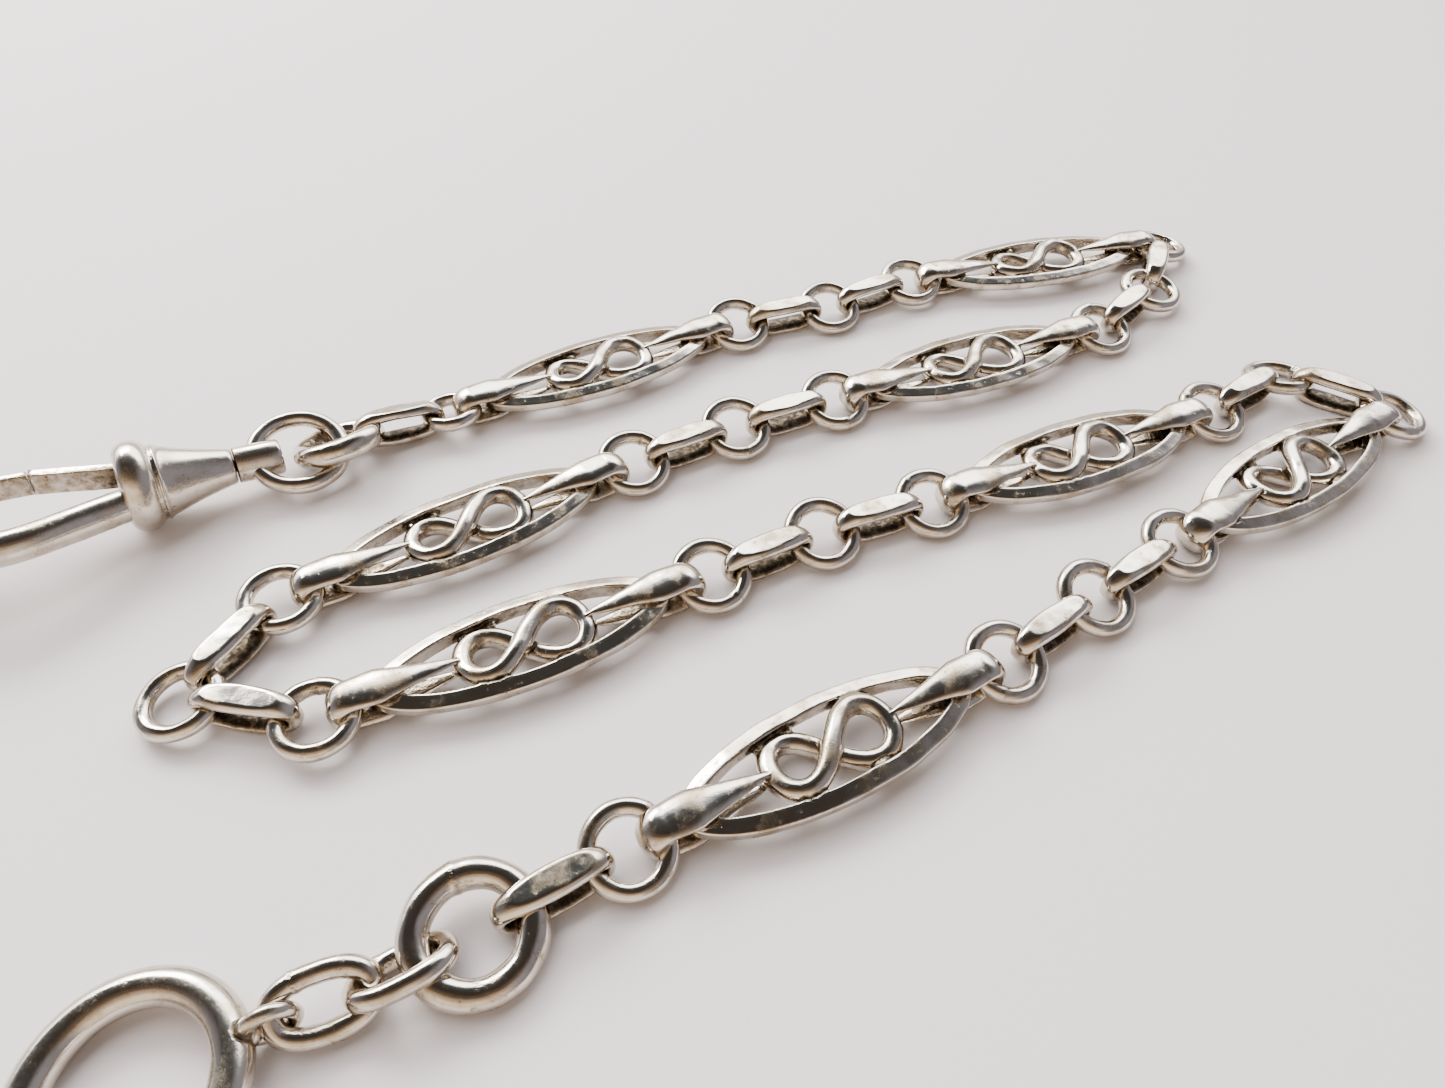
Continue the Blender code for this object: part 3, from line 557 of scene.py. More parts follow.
def fused(shells, voxel, rounds, tarnish_and_shade_of, cuts=()):
    """Shells melted into one closed surface, with the creases between them filled as solder fills them.

    A voxel remesh joins them. Each smoothing round moves a point half-way to its neighbours' mean and then
    back by a little more, which rounds the creases without thinning the wires. The painted tarnish and
    shade grows with how far the surface lies behind a much smoother copy of itself, along its normal: the
    darkening in the creases stands for tarnish and for the shade that falls there.
    """
    pull, push_back, copy_rounds, deep_mm = 0.5, 0.51, 24, 0.05
    rough = build("rough", shells, (np.zeros(3), np.eye(3) / MM), None, None)
    cutters = [build("cutter", [cut], (np.zeros(3), np.eye(3) / MM), None, None) for cut in cuts]
    for cutter in cutters:
        boolean = rough.modifiers.new("Cut", "BOOLEAN")
        boolean.operation, boolean.solver, boolean.object = "DIFFERENCE", "EXACT", cutter
    remesh = rough.modifiers.new("Melt", "REMESH")
    remesh.mode, remesh.voxel_size, remesh.adaptivity = "VOXEL", voxel, 0.0
    mesh = bpy.data.meshes.new_from_object(rough.evaluated_get(bpy.context.evaluated_depsgraph_get()))
    for used in (rough, *cutters):
        bpy.data.objects.remove(used)
    points = read(mesh.vertices, "co", 3, float).reshape(-1, 3)
    edges = read(mesh.edges, "vertices", 2, np.int64).reshape(-1, 2)
    quads = read(mesh.loops, "vertex_index", 1, np.int64).reshape(-1, 4)
    bpy.data.meshes.remove(mesh)
    count = np.maximum(np.bincount(edges.reshape(-1), minlength=len(points)), 1)
    for _ in range(rounds):
        points = points + pull * (neighbour_mean(points, edges, count) - points)
        points = points - push_back * (neighbour_mean(points, edges, count) - points)
    smooth = points
    for _ in range(copy_rounds):
        smooth = neighbour_mean(smooth, edges, count)
    a, b, c, d = (points[quads[:, k]] for k in range(4))
    across = np.cross(c - a, d - b)
    normal = np.zeros_like(points)
    for k in range(4):
        for axis in range(3):
            normal[:, axis] += np.bincount(quads[:, k], across[:, axis], len(points))
    normal = normal / np.maximum(np.linalg.norm(normal, axis=1, keepdims=True), 1e-12)
    # How deep each point lies in a crease, painted darker as tarnish and painted shade.
    cavity = ((smooth - points) * normal).sum(axis=1)
    tarnish_and_shade = np.clip(tarnish_and_shade_of(points, normal) + cavity / deep_mm, 0, 1)
    return points, quads, np.empty((0, 3), int), tarnish_and_shade


def spear_shell(size, side, seed):
    """A U of silver round the eye, both arms drawn out to a point over the figure eight.

    s runs from -1, the lower tip, through 0, the bend, to 1, the upper tip. The bend is half an
    ellipse. The arms ease down to their tips. Breadth swells along the arm and falls to the point.
    """
    part = 0.2  # the part of each half that is the bend
    upper = np.linspace(part, 1, 44)[1:]
    s = np.concatenate((-upper[::-1], np.linspace(-part, part, 31), upper))
    arm = np.clip((np.abs(s) - part) / (1 - part), 0, 1)
    bend = np.radians(90) * np.clip(s / part, -1, 1)
    eye = size.marquise_pitch / 2
    x = eye + size.spear_reach * np.cos(bend) * (arm == 0) - (eye - size.spear_tip_x) * arm
    high = size.spear_lift + (size.spear_tip_z - size.spear_lift) * arm**1.25
    path = np.stack((x, 0 * x, np.sin(bend) * high), axis=-1)
    point = np.clip((1 - arm) / 0.75, 0, 1) ** 0.75
    swell = 1 + 0.16 * np.exp(-(((arm - 0.22) / 0.22) ** 2))
    breadth = size.spear_breadth / 2 * point * swell + 0.03
    round_the_bend = np.cos(np.clip(s / part, -1, 1) * np.pi / 2)
    thickness = size.spear_thick / 2 + (size.spear_end - size.spear_thick) / 2 * round_the_bend
    thickness = thickness * point + 0.03
    phi = turns(32)[None]
    section = np.stack((
        breadth[:, None] * signed_power(np.cos(phi), 0.9),
        thickness[:, None] * signed_power(np.sin(phi), 0.95),
    ), axis=-1)
    rows = sweep(path, (0, 1, 0), section, closed=False)
    out_way = path_frame(path, np.broadcast_to((0.0, 1.0, 0.0), path.shape), False)
    facing_out = (out_way * (path - (eye - 3.0, 0, 0))).sum(axis=1) > 0
    # Faces turned in towards the link's middle are painted darker, as tarnish and painted shade.
    outside = np.sin(phi) * np.where(facing_out, 1, -1)[:, None]
    tarnish_and_shade = np.clip(-outside * 1.4, 0, 1) * 0.9
    rows = hand_made(rows, 0.03, 2.5, seed)
    if side < 0:
        rows = rows * (-1, -1, 1)
    return shell(rows, tarnish_and_shade, closed=False)


def oval_link_shell(size, seed):
    """A plain oval link of round wire: a superellipse path, x = a |cos t|^0.85 and y = b |sin t|^0.8."""
    t = turns(128)
    a, b = (size.trace_length - size.trace_wire) / 2, (size.trace_width - size.trace_wire) / 2
    path = np.stack((a * signed_power(np.cos(t), 0.85), b * signed_power(np.sin(t), 0.8), 0 * t), axis=-1)
    seam = bump_at(t, np.pi / 2 + 0.4, 0.08)
    radius = size.trace_wire / 2 * (1 + 0.02 * np.sin(3 * t + seed) + 0.05 * seam)
    rows = sweep(path, UP, round_section(radius, 28))
    # The inner side is painted darker, as tarnish and painted shade, and the seam darker still, which is
    # its solder.
    inner = np.clip(-np.sin(turns(28)), 0, 1)[None]
    return shell(hand_made(rows, 0.02, 2.0, seed), 0.3 * inner + 0.4 * seam[:, None])


def arc_points(middle, radius, start, end, steps):
    """Points of an arc in the (x, r) plane, from start to end degrees."""
    turn = np.radians(np.linspace(start, end, steps))
    return np.stack((middle[0] + radius * np.cos(turn), middle[1] + radius * np.sin(turn)), axis=-1)


def bell_shell(size):
    """The clip's bell, turned about X: mouth, bead, cove, fillet ring, hollow-sided cone, bored inside."""
    tube = size.bead_tube
    bead = arc_points((0, size.bead_radius - tube), tube, 205, 24, 26) * (1.2, 1.0)
    step = 1.2 * tube + 0.12
    fillet = arc_points((step + 0.16, size.cone_radius + 0.06), 0.15, 165, 20, 8)
    end = tube + size.cone_length
    x = np.linspace(step + 0.5, end - 0.12, 24)
    share = (x - x[0]) / (x[-1] - x[0])
    cone_r = size.cone_radius + (size.cone_end_radius - size.cone_radius) * share
    cone_r = cone_r - 0.10 * np.sin(np.pi * share)
    cone = np.stack((x, cone_r), axis=-1)
    bore, depth = size.pin_bore, size.bore_depth
    lip = np.array(((end, size.cone_end_radius - 0.12), (end, bore), (depth, bore)))
    inside = np.array((
        (depth, 1.2), (tube, size.mouth_radius - 0.2), (-0.8 * tube, size.mouth_radius),
    ))
    profile = np.concatenate((bead, fillet, cone, lip, inside))
    rows = lathe(profile, 112)
    along, high = profile.T
    # The cove and the hidden inside of the bell are painted darker: tarnish, and painted shade where little
    # light reaches.
    cove = bump_at(along * 0.5, (step - 0.05) * 0.5, 0.10) * (high > size.cone_radius - 0.5)
    hidden = np.arange(len(profile)) >= len(profile) - len(inside) - 1
    tarnish_and_shade = np.maximum(0.4 * cove, 0.9 * hidden)[:, None]
    return shell(rows, tarnish_and_shade)


def stem_shell(size):
    """The swivel stem, turned about X from the gap behind the bell to its flat end, pin and head inside."""
    gap, radius, length = size.gap, size.stem_radius, size.stem_length
    inside = -(size.bead_tube + size.cone_length - size.bore_depth) - 2 * gap
    profile = np.array((
        (inside - 0.5, 0.02), (inside - 0.5, 1.0), (inside, 1.0), (inside, 0.5), (0.12, 0.5),
        (0.12, radius - 0.08), (0.15, radius - 0.02), (0.22, radius), (gap + 1.0, radius),
        (length - 1.0, radius + 0.01), (length - 0.3, radius), (length - 0.12, radius - 0.04),
        (length - 0.03, radius - 0.13), (length, radius - 0.26), (length, 0.02),
    ))
    # The part hidden inside the bell is painted dark: tarnish and painted shade.
    return shell(lathe(profile, 96), (0.9 * (profile[:, 0] < 0.16))[:, None])


def hook_shell(size, seed):
    """The hook: round fixed leg, bowl, and a nose flattened to meet the gate.

    The path flares away from the axis as it leaves the bell, runs along, turns half a circle, and
    comes back to the seam. The section goes from round to a strip, deep across and thin outwards.
    """
    bowl = (size.hook_spread + size.nose) / 2
    middle = (size.nose - size.hook_spread) / 2
    turn_x = -(size.hook_length - size.hook_wire / 2 - bowl)
    leg_x = np.linspace(size.hook_wire / 4, turn_x, 60)
    share = (leg_x - leg_x[0]) / (leg_x[-1] - leg_x[0])
    flare = ease(np.clip(share / 0.84, 0, 1) ** 0.95)
    leg = np.stack((leg_x, -size.hook_root - (size.hook_spread - size.hook_root) * flare), axis=-1)
    turn = np.radians(np.linspace(0, 180, 48))[1:]
    bowl_line = np.stack((turn_x - bowl * np.sin(turn), middle - bowl * np.cos(turn)), axis=-1)
    nose_x = np.linspace(turn_x, -(size.gate_length + size.seam), 24)[1:]
    nose = np.stack((nose_x, 0 * nose_x + size.nose), axis=-1)
    flat = np.concatenate((leg, bowl_line, nose))
    path = np.concatenate((flat, 0 * flat[:, :1]), axis=1)
    run = np.concatenate(((0.0,), np.cumsum(np.linalg.norm(np.diff(path, axis=0), axis=1))))
    run = run / run[-1]
    strip = ease((run - 0.62) / 0.34)[:, None]
    root = ease((0.10 - run) / 0.10)[:, None]
    deep = size.hook_wire / 2 * (1 - strip) + size.gate_depth / 2 * strip
    thin = size.hook_wire / 2 * (1 - strip) * (1 - 0.10 * root) + size.gate_thick / 2 * 1.05 * strip
    phi = turns(40)[None]
    power = 0.95 - 0.55 * strip
    section = (deep * signed_power(np.cos(phi), power), thin * signed_power(np.sin(phi), power))
    rows = sweep(path, UP, np.stack(section, axis=-1), closed=False)
    middle_line = np.array((turn_x / 2, 0.0, 0.0))
    facing_in = ((rows - path[:, None]) * (middle_line - path)[:, None]).sum(axis=-1) > 0
    # Faces turned in towards the hook's middle, and its root inside the bead, are painted darker: tarnish
    # and painted shade.
    tarnish_and_shade = 0.25 * facing_in + 0.95 * ease((0.085 - run) / 0.05)[:, None] + 0.25 * strip * facing_in
    return shell(hand_made(rows, 0.04, 4.0, seed), tarnish_and_shade, closed=False)


def gate_shells(size, seed):
    """The gate: a strip with rounded edges from the seam to the bell, and its eye round the pin."""
    seat, half = size.gate_seat, size.gate_thick / 2
    line = np.array(((0.4, seat), (-0.6, seat + 0.05), (-size.gate_bend, seat + half / 2)))
    along = np.linspace(0, 1, 20)[1:, None]
    line = np.concatenate((line, line[-1] + (np.array((-size.gate_length, size.nose)) - line[-1]) * along))
    path = np.concatenate((line, 0 * line[:, :1]), axis=1)
    corners = [(size.gate_depth / 2, -half), (size.gate_depth / 2, half)]
    corners += [(-size.gate_depth / 2, half), (-size.gate_depth / 2, -half)]
    outline = rounded(corners, 0.13)
    rows = sweep(path, UP, np.broadcast_to(outline, (len(path), *outline.shape)), closed=False)
    # The inner face and the end at the bell are painted darker: dirt and tarnish, and painted shade in the
    # crease at the bell.
    inner_face = rows[..., 1] < path[:, None, 1] - 0.6 * half
    near_bell = ease(1 + path[:, 0] / (0.75 * size.gate_length))[:, None]
    dirt_and_shade = inner_face * (0.42 + 0.35 * near_bell) + 0.55 * near_bell**4
    strip = shell(hand_made(rows, 0.03, 2.5, seed), dirt_and_shade, closed=False)
    t = turns(40)[:, None]
    bush = rounded([(-size.gate_depth / 2, 0.43), (size.gate_depth / 2, 0.43),
                    (size.gate_depth / 2, 0.8), (-size.gate_depth / 2, 0.8)], 0.06)
    z, r = bush[None, :, 0], bush[None, :, 1]
    eye = np.stack((r * np.cos(t), seat + r * np.sin(t), z + 0 * t), axis=-1)
    # The eye, hidden inside the bead, is painted darker: tarnish and painted shade.
    return [strip, shell(eye, 0.6)]


def bend(ring_radius, start, end, steps):
    """Points of an arc about Z, between two directions in degrees."""
    turn = np.radians(np.linspace(start, end, steps))
    return ring_radius * np.stack((np.cos(turn), np.sin(turn), 0 * turn), axis=-1)


def pipe_shell(ring_radius, radius, bore, start, end):
    """A hollow tube bent about Z: out along its outside, round the lip, and back along its bore."""
    path = bend(ring_radius, start, end, 200)
    lip = np.ones(200)
    lip[[0, -1]], lip[[1, -2]] = 0.93, 0.98
    outside = sweep(path, UP, round_section(radius * lip, 36), closed=False)
    inside = sweep(path, UP, round_section(np.full(200, bore), 36), closed=False)[::-1]
    return shell(np.concatenate((outside, inside)))


def rod_shell(path, radius, across, tarnish_and_shade=0.0):
    """A round rod along a path, its ends domed by two shrinking rows."""
    taper = np.full(len(path), radius)
    taper[[0, -1]], taper[[1, -2]] = 0.6 * radius, 0.93 * radius
    return shell(sweep(path, across, round_section(taper, 28), closed=False), tarnish_and_shade, closed=False)


# Degrees of the bolt ring, from the gap's edge into the tube.
SLOT = (4, 70)
KNOB_AT = 10
TONGUE_ENDS = (-6, 14)
TONGUE_TRAVEL = 54
COIL_CLEAR = 4
COIL_TURNS, COIL_WIRE = 13, 0.08


def bolt_angles(size):
    """(start, end) of the tube in degrees from the eyelet, going round by way of the closed side."""
    return size.bolt_gap_at + size.bolt_gap / 2, size.bolt_gap_at - size.bolt_gap / 2 + 360


def bolt_tube(size):
    """The bent tube with its eyelet soldered on, and a slot for the knob."""
    start, end = bolt_angles(size)
    out = size.bolt_radius + size.bolt_tube + size.eyelet - size.eyelet_wire / 2
    t = turns(72)
    loop = np.stack((out + size.eyelet * np.cos(t), 0 * t, size.eyelet * np.sin(t)), axis=-1)
    across = np.array((0.0, 1.0, 0.0))
    eyelet = shell(sweep(loop, across, round_section(np.full(72, size.eyelet_wire / 2), 24)))
    solder = blob((size.bolt_radius + size.bolt_tube + 0.1, 0.0, 0.0), (0.32, 0.62, 0.55), 88)
    tube = pipe_shell(size.bolt_radius, size.bolt_tube, size.bolt_bore, start, end)
    line = bend(size.bolt_radius + 1.5, start + SLOT[0], start + SLOT[1], 40)
    wide = size.knob + 0.12
    box = np.array(((wide, -1.5), (wide, 1.5), (-wide, 1.5), (-wide, -1.5)))
    slot = shell(sweep(line, UP, np.broadcast_to(box, (40, 4, 2)), closed=False), closed=False)

    def tarnish_and_shade_of(points, normal):
        away = np.hypot(np.hypot(points[:, 0], points[:, 1]) - size.bolt_radius, points[:, 2])
        # The bore inside the tube is painted dark: tarnish and painted shade where little light reaches.
        return 0.15 + 0.8 * (away < (size.bolt_bore + size.bolt_tube) / 2)

    return fused([tube, eyelet, solder], size.melt, 2, tarnish_and_shade_of, [slot])


def bolt_tongue(size):
    """The tongue that closes the gap, and its thumb knob: a stud with a domed head."""
    start, _ = bolt_angles(size)
    tip, tail = start - size.bolt_gap + TONGUE_ENDS[0], start + TONGUE_ENDS[1]
    rod = rod_shell(bend(size.bolt_radius, tip, tail, 60), size.tongue, UP)
    way = bend(1.0, start + KNOB_AT, start + KNOB_AT, 1)[0]
    high = size.bolt_radius + np.linspace(0, size.bolt_tube + 0.7, 16)
    swell = 0.75 + 0.35 * ease((high - high[-1] + 0.75) / 0.4)
    swell[-2:] = (0.9, 0.5)
    path = way * high[:, None]
    stud = shell(sweep(path, UP, round_section(size.knob * swell, 24), closed=False), closed=False)
    return fused([rod, stud], 0.06, 2, lambda points, normal: 0.1 + 0 * points[:, 0])


def coil_shell(size):
    """The spring behind the tongue: a helix round the ring's own bend."""
    start = bolt_angles(size)[0] + TONGUE_ENDS[1] + TONGUE_TRAVEL + COIL_CLEAR
    s = np.linspace(0, 1, 900)
    turn = np.radians(start + size.coil_degrees * s)
    outward = np.stack((np.cos(turn), np.sin(turn), 0 * turn), axis=-1)
    phase = 2 * np.pi * COIL_TURNS * s[:, None]
    across = outward * np.cos(phase) + UP * np.sin(phase)
    path = outward * size.bolt_radius + across * (size.tongue - COIL_WIRE)
    wire = round_section(np.full(900, COIL_WIRE), 8)
    return shell(sweep(path, across, wire, closed=False), 0.3, closed=False)


# Settings that a user would change.


def length(name, description, default):
    """A size in millimetres, or an angle in degrees where its description says so."""
    return FloatProperty(name=name, description=description, default=default, unit="NONE", min=0.01)


def plain(name, description, default, **settings):
    """Any other number."""
    return FloatProperty(name=name, description=description, default=default, **settings)


def hex_colour(name, description, default):
    """A colour as sRGB hex."""
    return StringProperty(name=name, description=description, default=default)


class WATCHCHAIN_PG_sizes(bpy.types.PropertyGroup):
    """Sizes of the pieces, in millimetres where nothing else is said."""

    ring: length("Small ring", "Outside diameter of the joining rings", 6.3)
    ring_wire: length("Ring wire", "Wire of the joining rings", 1.25)
    end_ring: length("End ring", "Outside diameter of the ring next to the clip", 5.4)
    swivel_ring: length("Swivel ring", "Outside diameter of the ring through the stem", 8.4)
    swivel_wire: length("Swivel ring wire", "Wire of the ring through the stem", 1.4)
    heavy_long: length("Heavy ring length", "Outside length of the heavy oval ring", 8.2)
    heavy_wide: length("Heavy ring width", "Outside width of the heavy oval ring", 7.2)
    heavy_wire: length("Heavy ring wire", "Wire of the heavy oval ring", 2.05)
    big_ring: length("Big ring", "Outside diameter of the ring before the trace links", 8.7)
    big_wire: length("Big ring wire", "Wire of the big ring", 1.95)
    trace_length: length("Trace link length", "Outside length of the oval links", 6.6)
    trace_width: length("Trace link width", "Outside width of the oval links", 4.5)
    trace_wire: length("Trace link wire", "Wire of the oval links", 1.28)
    connector_length: length("Connector length", "Outside length of a connector", 7.85)
    connector_height: length("Connector height", "Height of a connector on edge", 3.0)
    connector_width: length("Connector width", "Widest part of a connector", 2.2)
    connector_end_width: length("Connector end width", "Width of a connector's rounded end", 1.4)
    connector_end: length("Connector end", "Metal beyond the hole", 0.95)
    connector_wall: length("Connector wall", "Metal above the hole", 0.92)
    connector_dome: length("Connector dome", "How far the dome rose before it was filed flat", 0.21)
    connector_squareness: plain("Connector squareness", "Superellipse power", 2.9)
    connector_steps: IntProperty(name="Connector steps", description="Stations round one", default=144)
    marquise_pitch: length("Boat link pitch", "Eye to eye of a boat-shaped link", 24.1)
    rim_length: length("Rim length", "Outside length of the boat-shaped rim", 22.1)
    rim_width: length("Rim width", "Outside width of the boat-shaped rim", 7.95)
    rim_wall: length("Rim wall", "Thickness of the rim outwards", 1.15)
    rim_height: length("Rim height", "Height of the rim", 1.25)
    rim_shoulder: length("Rim shoulder", "Height of the bevel's outer edge above the rim's middle", 0.36)
    eight_wire: length("Figure eight wire", "Wire of the figure eight", 1.48)
    eight_roundness: plain("Figure eight roundness", "k in its path", 0.85)
    melt: length("Melt", "Voxel size of the soldered pieces", 0.09)
    eight_length: length("Figure eight length", "Outside length of the figure eight", 10.5)
    eight_width: length("Figure eight width", "Width of its wire's path", 3.95)
    spear_tip_x: length("Spear tip", "From the link's middle to the spear's tip", 4.5)
    spear_tip_z: length("Spear tip height", "Height of the tip above the link's middle", 0.66)
    spear_lift: length("Spear arm height", "Height of the arm above the link's middle", 1.06)
    spear_reach: length("Spear reach", "How far the bend reaches past the eye", 1.15)
    spear_breadth: length("Spear breadth", "Breadth of the spear at its bend", 2.45)
    spear_thick: length("Spear thickness", "Thickness of the spear's arm", 0.96)
    spear_end: length("Spear end", "Thickness of the bend", 1.45)
    bead_radius: length("Bead radius", "Outer radius of the bell's bead", 3.65)
    bead_tube: length("Bead", "Radius of the bead's own round", 1.05)
    cone_radius: length("Cone radius", "Radius of the cone at the bead", 2.82)
    cone_end_radius: length("Cone end radius", "Radius of the cone at the stem", 1.46)
    cone_length: length("Cone length", "From the bead to the cone's end", 5.9)
    mouth_radius: length("Mouth radius", "Radius inside the bead", 3.05)
    bore_depth: length("Bore depth", "Depth of the hollow in the bell", 5.0)
    pin_bore: length("Pin bore", "Radius of the bore for the stem's pin", 0.75)
    gap: length("Gap", "Gap between pieces that turn on each other", 0.25)
    stem_length: length("Stem length", "From the cone to the stem's end", 3.7)
    stem_radius: length("Stem radius", "Radius of the stem", 1.47)
    hook_wire: length("Hook bar", "Diameter of the hook's bar", 2.55)
    hook_length: length("Hook length", "From the bead to the hook's far side", 16.5)
    hook_spread: length("Hook spread", "From the axis to the fixed leg", 3.9)
    hook_root: length("Hook root", "From the axis to the leg inside the bead", 1.8)
    nose: length("Nose", "From the axis to the nose", 3.2)
    gate_length: length("Gate length", "From the bead to the gate's end", 7.0)
    gate_thick: length("Gate thickness", "Thickness of the gate's strip", 0.85)
    gate_depth: length("Gate depth", "Depth of the gate's strip", 1.95)
    gate_bend: length("Gate bend", "Where the gate leaves the bead", 1.2)
    gate_seat: length("Gate seat", "From the axis to the gate's pin", 1.65)
    seam: length("Seam", "Gap between gate and nose", 0.12)
    bolt_radius: length("Bolt ring radius", "Radius to the middle of the tube", 5.3)
    bolt_tube: length("Bolt tube", "Radius of the tube", 1.1)
    bolt_bore: length("Bolt bore", "Radius of the tube's bore", 0.66)
    tongue: length("Tongue", "Radius of the tongue", 0.42)
    bolt_gap: length("Bolt gap", "Degrees of the ring that the tongue closes", 52.0)
    bolt_gap_at: length("Bolt gap at", "Degrees from the eyelet to the middle of the gap", 205.0)
    coil_degrees: length("Coil", "Degrees of the ring that the spring takes up", 42.0)
    knob: length("Knob", "Radius of the thumb knob", 0.45)
    eyelet: length("Eyelet", "Radius to the middle of the eyelet's wire", 1.3)
    eyelet_wire: length("Eyelet wire", "Wire of the eyelet", 0.9)


class WATCHCHAIN_PG_finish(bpy.types.PropertyGroup):
    """Colours of the silver, as sRGB hex."""

    bright: hex_colour("Bright silver", "Clean, handled silver", "#D3CABD")
    toned: hex_colour("Toned silver", "Silver with its first warm tone", "#99886D")
    # The darkest colour in the recesses: sulphide tarnish and painted shade together.
    deepest_tarnish_and_shade: hex_colour("Tarnish", "Sulphide in the recesses", "#1E1814")


class WATCHCHAIN_PG_stage(bpy.types.PropertyGroup):
    """Camera, floor and lights."""

    camera_x: plain("Camera X", "Camera place", 0.03155, unit="LENGTH")
    camera_y: plain("Camera Y", "Camera place", -0.03789, unit="LENGTH")
    camera_z: plain("Camera Z", "Camera place", 0.05817, unit="LENGTH")
    pitch: plain("Look down", "Camera's angle below level", math.radians(46.8), subtype="ANGLE")
    roll: plain("Roll", "Camera roll", math.radians(-0.4), subtype="ANGLE")
    lens: plain("Lens", "Focal length, mm", 24.93)
    floor: hex_colour("Floor", "Colour of the table", "#DCD7D7")
    key: plain("Key light", "Power of the large back light, W", 3.0)
    ceiling: plain("Ceiling", "Power of the soft light overhead, W", 3.5)
    room: plain("Room", "Brightness of the room's window", 8.8)


# Operators: each builds one kind of piece.


def silver_piece(node, shells, pose, material, body):
    """A CAD node's finished surface, which rides on its body and stands in the node's place."""
    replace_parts(build(node + "_silver", shells, pose, material, body), node)


def wire_ring_piece(node, long_mm, wide_mm, wire_mm, seed, worn=0.0):
    """A ring of round wire in a node's place, turned by its longest way if it is oval."""
    pose = principal_pose(node) if long_mm != wide_mm else ring_pose(node)
    silver_piece(node, [wire_ring(long_mm, wide_mm, wire_mm, seed, worn)], pose, drawn_wire(), node)


class WATCHCHAIN_OT_rings(bpy.types.Operator):
    """Every round and oval ring"""

    bl_idname = "watch_chain.rings"
    bl_label = "Rings"

    def execute(self, context):
        size = context.scene.watch_chain_sizes
        for name in sorted(n for n in NODES if n.startswith("small_ring")):
            across = size.end_ring if name == "small_ring_01" else size.ring
            wire_ring_piece(name, across, across, size.ring_wire, int(name[-2:]))
        wire_ring_piece("swivel_ring", size.swivel_ring, size.swivel_ring, size.swivel_wire, 31)
        wire_ring_piece("heavy_ring", size.heavy_long, size.heavy_wide, size.heavy_wire, 32, 0.2)
        wire_ring_piece("big_ring", size.big_ring, size.big_ring, size.big_wire, 33)
        return {"FINISHED"}


class WATCHCHAIN_OT_connectors(bpy.types.Operator):
    """The oblong connectors"""

    bl_idname = "watch_chain.connectors"
    bl_label = "Connectors"

    def execute(self, context):
        size = context.scene.watch_chain_sizes
        for name in sorted(n for n in NODES if n.startswith("connector")):
            pose = principal_pose(name, order="xzy")
            link = connector_shell(size, 100 + int(name[-2:]))
            silver_piece(name, [link], pose, cast_silver(), name)
        return {"FINISHED"}


class WATCHCHAIN_OT_boat_links(bpy.types.Operator):
    """The boat-shaped links: rim, figure eight and two spear loops each"""

    bl_idname = "watch_chain.boat_links"
    bl_label = "Boat-shaped links"

    def execute(self, context):
        size = context.scene.watch_chain_sizes
        for name in sorted(n for n in NODES if n.startswith("marquise")):
            seed = 200 + 10 * int(name[-2:])
            pose = principal_pose(name)
            shells = [rim_shell(size, seed), eight_shell(size, seed + 1), *solder_shells(size, seed + 2)]
            shells += [spear_shell(size, side, seed + 8 + side) for side in (1, -1)]
            cast = fused(shells, size.melt, 3, boat_tarnish_and_shade(size))
            silver_piece(name, [cast], pose, cast_silver(), name)
        return {"FINISHED"}


class WATCHCHAIN_OT_trace_links(bpy.types.Operator):
    """The two plain oval links"""

    bl_idname = "watch_chain.trace_links"
    bl_label = "Trace links"

    def execute(self, context):
        size = context.scene.watch_chain_sizes
        for name in ("trace_link_01", "trace_link_02"):
            link = oval_link_shell(size, 60 + int(name[-2:]))
            silver_piece(name, [link], principal_pose(name), drawn_wire(), name)
        return {"FINISHED"}


class WATCHCHAIN_OT_dog_clip(bpy.types.Operator):
    """The dog clip: bell, hook, gate, spring and swivel stem"""

    bl_idname = "watch_chain.dog_clip"
    bl_label = "Dog clip"

    def execute(self, context):
        size = context.scene.watch_chain_sizes
        centre, axes = clip_pose()
        bead = centre - axes[0] * (size.bead_tube + size.cone_length)
        clip = (bead, axes)
        silver_piece("clip_bell", [bell_shell(size)], clip, turned_silver(), "clip")
        silver_piece("clip_hook", [hook_shell(size, 71)], clip, turned_silver(), "clip")
        silver_piece("clip_gate", gate_shells(size, 72), clip, cast_silver(), "clip_gate")
        NODES["clip_gate_spring"].data.materials.clear()
        NODES["clip_gate_spring"].data.materials.append(spring_steel())
        x, across = axes[0], ring_pose("swivel_ring")[1][2]
        z = unit(across - x * (across @ x))
        stem = (centre, np.array((x, np.cross(z, x), z)))
        silver_piece("swivel_stem", [stem_shell(size)], stem, turned_silver(), "swivel_stem")
        return {"FINISHED"}


def bolt_pose():
    """(centre, axes) of the bolt ring: X to its eyelet, Z its normal, the tongue at negative Y."""
    slide = JOINTS["bolt_ring_tongue_slide"]
    centre, z = np.array(slide["pos_m"]) / MM, unit(np.array(slide["axis"]))
    tube = surface_points("bolt_ring_tube").reshape(-1, 3) - centre
    away = np.linalg.norm(tube, axis=1)
    x = tube[away > 0.9 * away.max()].mean(axis=0)
    x = unit(x - z * (x @ z))
    tongue = surface_points("bolt_ring_tongue").mean(axis=(0, 1)) - centre
    z = z if tongue @ np.cross(z, x) < 0 else -z
    return centre, np.array((x, np.cross(z, x), z))


